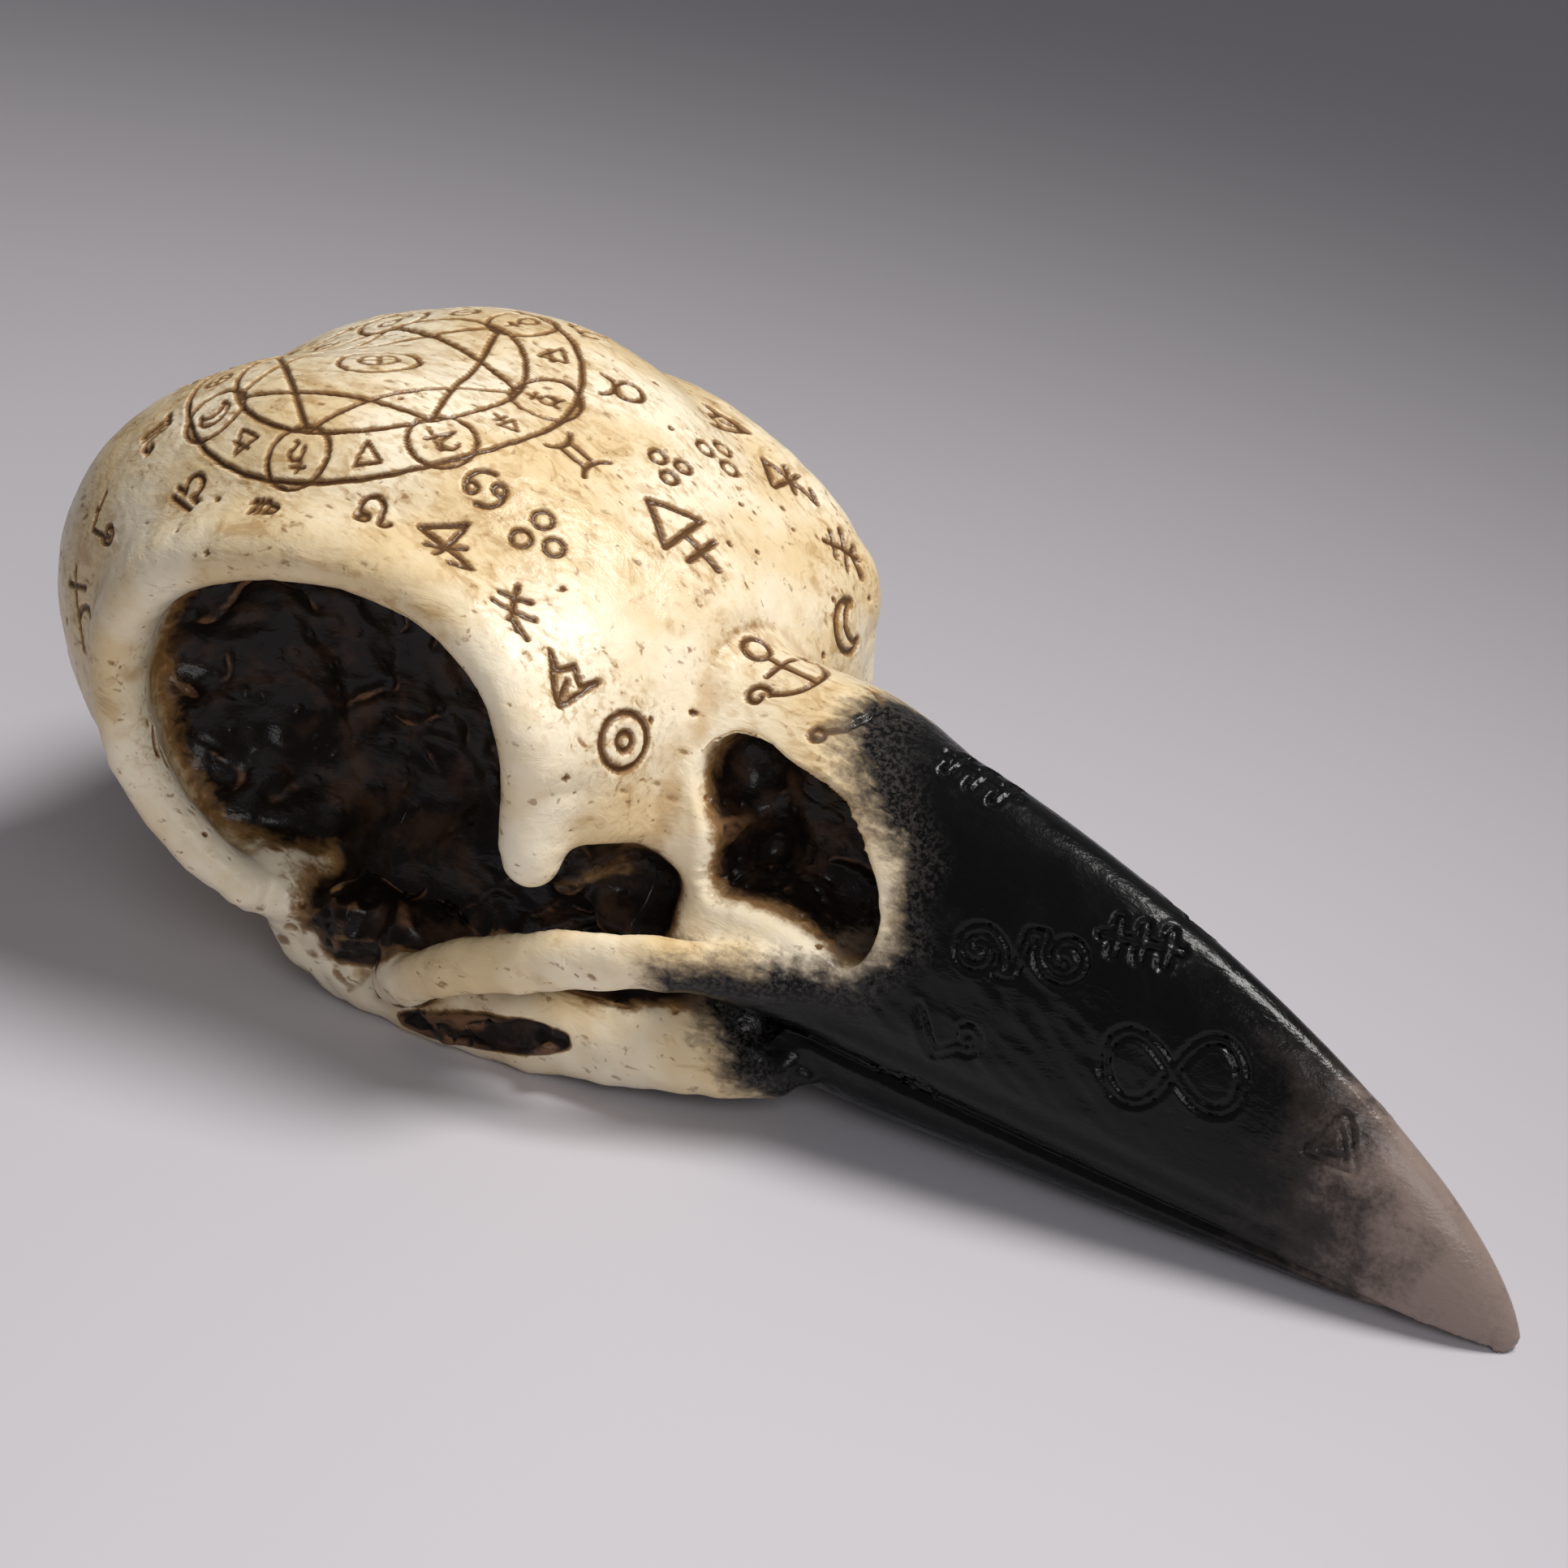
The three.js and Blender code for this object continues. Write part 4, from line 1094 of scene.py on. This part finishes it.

# the knuckles behind the cheek stand out in brown from the dark paint and painted shade round them; their
# bulges are made lighter, partly brushed brown and partly a painted highlight
knuckleZone = smoothStep(30, 36, x) * smoothStep(92, 60, x) * smoothStep(14, 17, z)
knuckleZone = knuckleZone * smoothStep(32, 27, z) * (y > 18)
bulging = knuckleZone * smoothStep(0.25, -0.5, broadHollow) * smoothStep(2.4, 3.4, hollowDepth)
hollowDepth += bulging * (2.3 - hollowDepth) * (0.75 + 0.5 * noiseAt(form, 4, 95))

marks = {
    "stain": stain, "halo": halo, "hollowDepth": hollowDepth, "fineHollow": fineHollow,
    "broadHollow": broadHollow, "paint": edgeDistance(billValues["paintEdge"], x, z), "along": x,
}
for name, values in marks.items():
    writeAttribute(casting, name, values)
sayStage("surface shaped")


# Helpers for the painted resin, which is one shader for the whole casting.
def addNode(tree, kind, inputs=None, **settings):
    node = tree.nodes.new(kind)
    for name, value in settings.items():
        setattr(node, name, value)
    for name, value in (inputs or {}).items():
        if isinstance(value, bpy.types.NodeSocket):
            tree.links.new(value, node.inputs[name])
        else:
            node.inputs[name].default_value = value
    return node


def readAttribute(tree, name):
    return addNode(tree, "ShaderNodeAttribute", attribute_name=name).outputs["Fac"]


def noiseNode(tree, where, scale, detail=3, rough=0.55, distortion=0):
    node = addNode(tree, "ShaderNodeTexNoise", {"Vector": where, "Scale": scale, "Detail": detail,
                                                "Roughness": rough, "Distortion": distortion})
    return node.outputs["Fac"]


def maths(tree, operation, a, b=0.0, c=0.0):
    return addNode(tree, "ShaderNodeMath", {0: a, 1: b, 2: c}, operation=operation).outputs[0]


def ramp(tree, value, low, high, toLow=0.0, toHigh=1.0):
    node = addNode(tree, "ShaderNodeMapRange", {0: value, 1: low, 2: high, 3: toLow, 4: toHigh})
    node.interpolation_type = "SMOOTHSTEP"
    return node.outputs[0]


def blendColour(tree, share, a, b):
    node = addNode(tree, "ShaderNodeMix", data_type="RGBA")
    for socket, value in ((0, share), (6, a), (7, b)):
        if isinstance(value, bpy.types.NodeSocket):
            tree.links.new(value, node.inputs[socket])
        else:
            node.inputs[socket].default_value = value if socket == 0 else (*value, 1)
    return node.outputs[2]


paintValues = {
    "ivory": (0.78, 0.60, 0.345),
    "paleIvory": (0.93, 0.82, 0.62),
    "tan": (0.50, 0.315, 0.13),
    "wash": (0.26, 0.13, 0.042),
    "deepBrown": (0.11, 0.052, 0.020),
    "hollowBlack": (0.0075, 0.005, 0.004),
    "hollowBrown": (0.055, 0.027, 0.014),
    "webBrown": (0.17, 0.085, 0.042),
    "black": (0.0035, 0.0035, 0.0038),
    "brushGrey": (0.060, 0.052, 0.047),
    "brushBrown": (0.17, 0.125, 0.085),
    "tipGrey": (0.27, 0.205, 0.175),
    "tipDark": (0.035, 0.027, 0.023),
    "coat": 0.26,
    "coatRoughness": 0.11,
    "gloss": 1.4,
    "shine": 0.17,
    "brushTurn": (0.3, 0.5, 0.2),
}


def makePaint(name):
    v = paintValues
    material = bpy.data.materials.new(name)
    material.use_nodes = True
    tree = material.node_tree
    shader = tree.nodes["Principled BSDF"]
    where = addNode(tree, "ShaderNodeTexCoord").outputs["Object"]
    stainValue = readAttribute(tree, "stain")
    haloValue = readAttribute(tree, "halo")
    hollowValue = readAttribute(tree, "hollowDepth")
    fineValue = readAttribute(tree, "fineHollow")
    broadValue = readAttribute(tree, "broadHollow")
    paintValue = readAttribute(tree, "paint")
    alongValue = readAttribute(tree, "along")

    def centred(value, size):
        return maths(tree, "MULTIPLY", maths(tree, "SUBTRACT", value, 0.5), size)

    def both(a, b):
        return maths(tree, "MULTIPLY", a, b)

    cloud = noiseNode(tree, where, 48, 4)
    mottle = noiseNode(tree, where, 170, 5, 0.6)
    speck = noiseNode(tree, where, 640, 2, 0.5)
    fuzz = noiseNode(tree, where, 1500, 3, 0.7)
    brush = addNode(tree, "ShaderNodeMapping", {"Vector": where, "Rotation": v["brushTurn"],
                                                "Scale": (0.4, 1, 1)})
    streak = noiseNode(tree, brush.outputs[0], 760, 3, 0.55, 0.5)
    smear = noiseNode(tree, brush.outputs[0], 260, 4, 0.65, 0.8)

    # ivory in two tones, with brown smears, streaks and dots where the wash was left on
    colour = blendColour(tree, ramp(tree, cloud, 0.36, 0.64), v["paleIvory"], v["ivory"])
    aged = maths(tree, "MULTIPLY_ADD", haloValue, 0.07, cloud)
    smudge = both(ramp(tree, smear, 0.5, 0.68), ramp(tree, aged, 0.44, 0.6))
    colour = blendColour(tree, both(smudge, 0.72), colour, v["tan"])
    lowPlace = ramp(tree, maths(tree, "ADD", broadValue, centred(mottle, 0.8)), 0.05, 0.4)
    colour = blendColour(tree, both(lowPlace, 0.7), colour, v["tan"])
    nearSigns = both(haloValue, ramp(tree, streak, 0.44, 0.66))
    colour = blendColour(tree, both(nearSigns, 0.6), colour, v["tan"])
    strokes = both(ramp(tree, streak, 0.61, 0.68), ramp(tree, mottle, 0.5, 0.6))
    dots = both(ramp(tree, speck, 0.66, 0.72), ramp(tree, smear, 0.46, 0.56))
    colour = blendColour(tree, both(maths(tree, "MAXIMUM", strokes, dots), 0.6), colour, v["wash"])

    # brown wash in grooves, pits and flecks
    uneven = maths(tree, "ADD", stainValue, centred(streak, 0.55))
    colour = blendColour(tree, ramp(tree, uneven, 0.12, 0.6, 0, 0.88), colour, v["wash"])
    core = maths(tree, "MULTIPLY_ADD", fineValue, 1.5, uneven)
    colour = blendColour(tree, ramp(tree, core, 0.75, 1.4), colour, v["deepBrown"])

    # hollows: orange brown at the edge, then near black with browner webs; the near black is partly the
    # hollows' dark paint and partly painted shade
    ragged = maths(tree, "ADD", hollowValue, centred(mottle, 5.0))
    ragged = maths(tree, "ADD", ragged, centred(streak, 3.0))
    colour = blendColour(tree, ramp(tree, ragged, 0.5, 2.4, 0, 0.95), colour, v["wash"])
    # browner web crests: partly brushed brown, partly a painted highlight where light catches them
    webTone = ramp(tree, maths(tree, "MULTIPLY", fineValue, -1.0), 0.07, 0.3)
    brownish = ramp(tree, maths(tree, "ADD", mottle, centred(cloud, 0.8)), 0.45, 0.7, 0, 0.8)
    dark = blendColour(tree, brownish, v["hollowBlack"], v["hollowBrown"])
    dark = blendColour(tree, both(webTone, ramp(tree, smear, 0.3, 0.6)), dark, v["webBrown"])
    colour = blendColour(tree, ramp(tree, ragged, 1.6, 4.6), colour, dark)

    # black bill with a dry-brushed edge, worn to grey brown at the tip
    spread = maths(tree, "ADD", paintValue, centred(mottle, 6.0))
    hairs = maths(tree, "ADD", centred(fuzz, 0.45), centred(streak, 1.0))
    glaze = ramp(tree, maths(tree, "ADD", ramp(tree, spread, -6.5, 1.0), hairs), 0.25, 0.9)
    paintMask = ramp(tree, maths(tree, "ADD", ramp(tree, spread, -3.5, 3.2), hairs), 0.2, 0.75)
    tipShare = ramp(tree, maths(tree, "ADD", alongValue, centred(cloud, 22.0)), 166, 205)
    worn = maths(tree, "ADD", tipShare, centred(mottle, 0.9))
    worn = maths(tree, "ADD", worn, centred(fuzz, 0.35))
    bare = blendColour(tree, ramp(tree, worn, 0.1, 0.55), v["black"], v["tipDark"])
    bare = blendColour(tree, ramp(tree, worn, 0.45, 1.0), bare, v["tipGrey"])
    edgeGrey = both(ramp(tree, spread, 6.0, 0.5), ramp(tree, fuzz, 0.42, 0.62))
    bare = blendColour(tree, both(edgeGrey, 0.8), bare, v["brushGrey"])
    colour = blendColour(tree, both(glaze, 0.8), colour, v["brushBrown"])
    colour = blendColour(tree, paintMask, colour, bare)
    tree.links.new(colour, shader.inputs["Base Color"])

    rough = ramp(tree, mottle, 0.35, 0.7, 0.3, 0.46)
    rough = maths(tree, "MULTIPLY_ADD", paintMask, -0.08, rough)
    tree.links.new(rough, shader.inputs["Roughness"])
    shader.inputs["Coat Weight"].default_value = v["coat"]
    shader.inputs["Coat Roughness"].default_value = v["coatRoughness"]
    shader.inputs["Coat IOR"].default_value = v["gloss"]
    shader.inputs["IOR"].default_value = v["gloss"]
    shader.inputs["Specular IOR Level"].default_value = v["shine"]

    height = maths(tree, "MULTIPLY_ADD", smear, 1.5, both(streak, 0.8))
    height = maths(tree, "MULTIPLY_ADD", fuzz, 0.3, height)
    bump = addNode(tree, "ShaderNodeBump", {"Strength": 0.5, "Distance": 0.00025, "Height": height})
    tree.links.new(bump.outputs[0], shader.inputs["Normal"])
    tree.links.new(bump.outputs[0], shader.inputs["Coat Normal"])
    return material


bonePaint = makePaint("ivoryResin")
billPaint = makePaint("blackBillResin")

# the casting parted into closed sections: x range in metres, side, slot and the solids each stands for
cuts = [
    {"name": "craniumBackRight", "x": (-1, -0.052), "side": -1, "slot": "bone", "nodes": []},
    {"name": "craniumBackLeft", "x": (-1, -0.052), "side": 1, "slot": "bone", "nodes": ["braincase"]},
    {"name": "craniumRight", "x": (-0.052, -0.01), "side": -1, "slot": "bone",
     "nodes": ["orbit_rim_right", "quadrate_right", "jaw_right", "forehead"]},
    {"name": "craniumLeft", "x": (-0.052, -0.01), "side": 1, "slot": "bone",
     "nodes": ["orbit_rim_left", "quadrate_left", "jaw_left", "palate"]},
    {"name": "face", "x": (-0.01, 0.0285), "side": 0, "slot": "bone",
     "nodes": ["nose", "lacrimal_right", "lacrimal_left", "jugal_bar_right", "jugal_bar_left"]},
    {"name": "billCasting", "x": (0.0285, 1), "side": 0, "slot": "bill",
     "nodes": ["upper_bill", "lower_bill"]},
]


def openEdges(piece):
    flat = np.empty(len(piece.data.loops), np.int32)
    piece.data.loops.foreach_get("edge_index", flat)
    return int((np.bincount(flat, minlength=len(piece.data.edges)) != 2).sum())


# Keeps what lies between two corners, as a closed body.
def keepBox(piece, low, high):
    deselectAll()
    bpy.ops.mesh.primitive_cube_add(size=1, location=(low + high) / 2)
    box = bpy.context.object
    box.scale = high - low
    bpy.ops.object.transform_apply(location=True, rotation=False, scale=True)
    applyModifier(piece, "BOOLEAN", operation="INTERSECT", solver="MANIFOLD", object=box)
    bpy.data.objects.remove(box)


# The cut's new points take their marks from the nearest point of the casting.
def markCut(piece, low, high, castingPoints):
    def nearCut(points, reach):
        atCut = (np.abs(points - low) < reach) | (np.abs(points - high) < reach)
        return np.where(np.any(atCut, axis=1))[0]

    points = readPoints(piece)
    onCut = nearCut(points, 1e-6)
    near = nearCut(castingPoints, 0.001)
    which = near[nearestOf(points[onCut], castingPoints[near])[0]]
    for name, values in marks.items():
        layer = piece.data.attributes[name]
        flat = np.empty(len(points), np.float32)
        layer.data.foreach_get("value", flat)
        flat[onCut] = values[which]
        layer.data.foreach_set("value", flat)


def copyOf(piece, name):
    copy = piece.copy()
    copy.data = piece.data.copy()
    copy.name = name
    bpy.context.scene.collection.objects.link(copy)
    return copy


castingPoints = readPoints(casting)
print(f"         casting: {openEdges(casting)} open edges")
for cut in cuts:
    low, high = np.array([-1.0, -1.0, -1.0]), np.array([1.0, 1.0, 1.0])
    low[0], high[0] = cut["x"]
    if cut["side"] > 0:
        low[1] = 0
    if cut["side"] < 0:
        high[1] = 0
    piece = copyOf(casting, cut["name"])
    keepBox(piece, low, high)
    markCut(piece, low, high, castingPoints)
    piece.data.materials.clear()
    piece.data.materials.append(billPaint if cut["slot"] == "bill" else bonePaint)
    takeUp(piece)
    bpy.ops.object.shade_smooth_by_angle(angle=math.radians(75))
    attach(piece, "root")
    if cut["nodes"]:
        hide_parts(*cut["nodes"])
    print(f"         {piece.name}: {len(piece.data.vertices)} points, {openEdges(piece)} open edges")
bpy.data.objects.remove(casting)
sayStage("sections cut and painted")


# table, light and air
studioValues = {
    "floorColour": (0.60, 0.575, 0.61),
    "floorSize": 14,
    "keyAt": (0.36, 0.18, 0.90),
    "keyAim": (-0.375, -0.49, 0),
    "keyCone": 85.7,
    "keyBlend": 0.63,
    "keyPower": 38,
    "keyRadius": 0.19,
    "keyColour": (1, 0.985, 0.96),
    "fillAt": (0.60, -0.46, 0.50),
    "fillSize": (0.45, 0.35),
    "fillPower": 2.1,
    "fillAim": (0, 0, 0.03),
    "fillColour": (0.98, 0.98, 1),
    "airColour": (0.93, 0.92, 0.96, 1),
    "airStrength": 0.13,
}


def makeFloor():
    deselectAll()
    bpy.ops.mesh.primitive_plane_add(size=studioValues["floorSize"], location=(0, 0, 0))
    floor = bpy.context.object
    floor.name = "studioFloor"
    editAll(floor, bpy.ops.mesh.subdivide, number_cuts=3)
    material = bpy.data.materials.new("palePaperFloor")
    material.use_nodes = True
    tree = material.node_tree
    where = addNode(tree, "ShaderNodeTexCoord").outputs["Object"]
    soft = noiseNode(tree, where, 6, 2)
    fibre = noiseNode(tree, where, 900, 2)
    colour = studioValues["floorColour"]
    darker = tuple(c * 0.965 for c in colour)
    tone = blendColour(tree, soft, darker, colour)
    shader = tree.nodes["Principled BSDF"]
    tree.links.new(tone, shader.inputs["Base Color"])
    shader.inputs["Roughness"].default_value = 0.6
    bump = addNode(tree, "ShaderNodeBump", {"Strength": 0.06, "Distance": 0.0001, "Height": fibre})
    tree.links.new(bump.outputs[0], shader.inputs["Normal"])
    floor.data.materials.append(material)


def aimed(lamp, at, target):
    lamp.rotation_euler = (Vector(target) - Vector(at)).to_track_quat("-Z", "Y").to_euler()


def addFill():
    v = studioValues
    bpy.ops.object.light_add(type="AREA", location=v["fillAt"])
    panel = bpy.context.object
    panel.name = "fillPanel"
    panel.data.shape = "RECTANGLE"
    panel.data.size, panel.data.size_y = v["fillSize"]
    panel.data.energy = v["fillPower"]
    panel.data.color = v["fillColour"]
    aimed(panel, v["fillAt"], v["fillAim"])


def addKey():
    v = studioValues
    bpy.ops.object.light_add(type="SPOT", location=v["keyAt"])
    key = bpy.context.object
    key.name = "keyLight"
    key.data.energy = v["keyPower"]
    key.data.color = v["keyColour"]
    key.data.shadow_soft_size = v["keyRadius"]
    key.data.spot_size = math.radians(v["keyCone"])
    key.data.spot_blend = v["keyBlend"]
    aimed(key, v["keyAt"], v["keyAim"])


makeFloor()
addKey()
addFill()
world = bpy.data.worlds.new("studioAir")
bpy.context.scene.world = world
world.use_nodes = True
air = world.node_tree.nodes["Background"]
air.inputs[0].default_value = studioValues["airColour"]
air.inputs[1].default_value = studioValues["airStrength"]
bpy.context.scene.view_settings.view_transform = "Standard"
sayStage("studio lit")
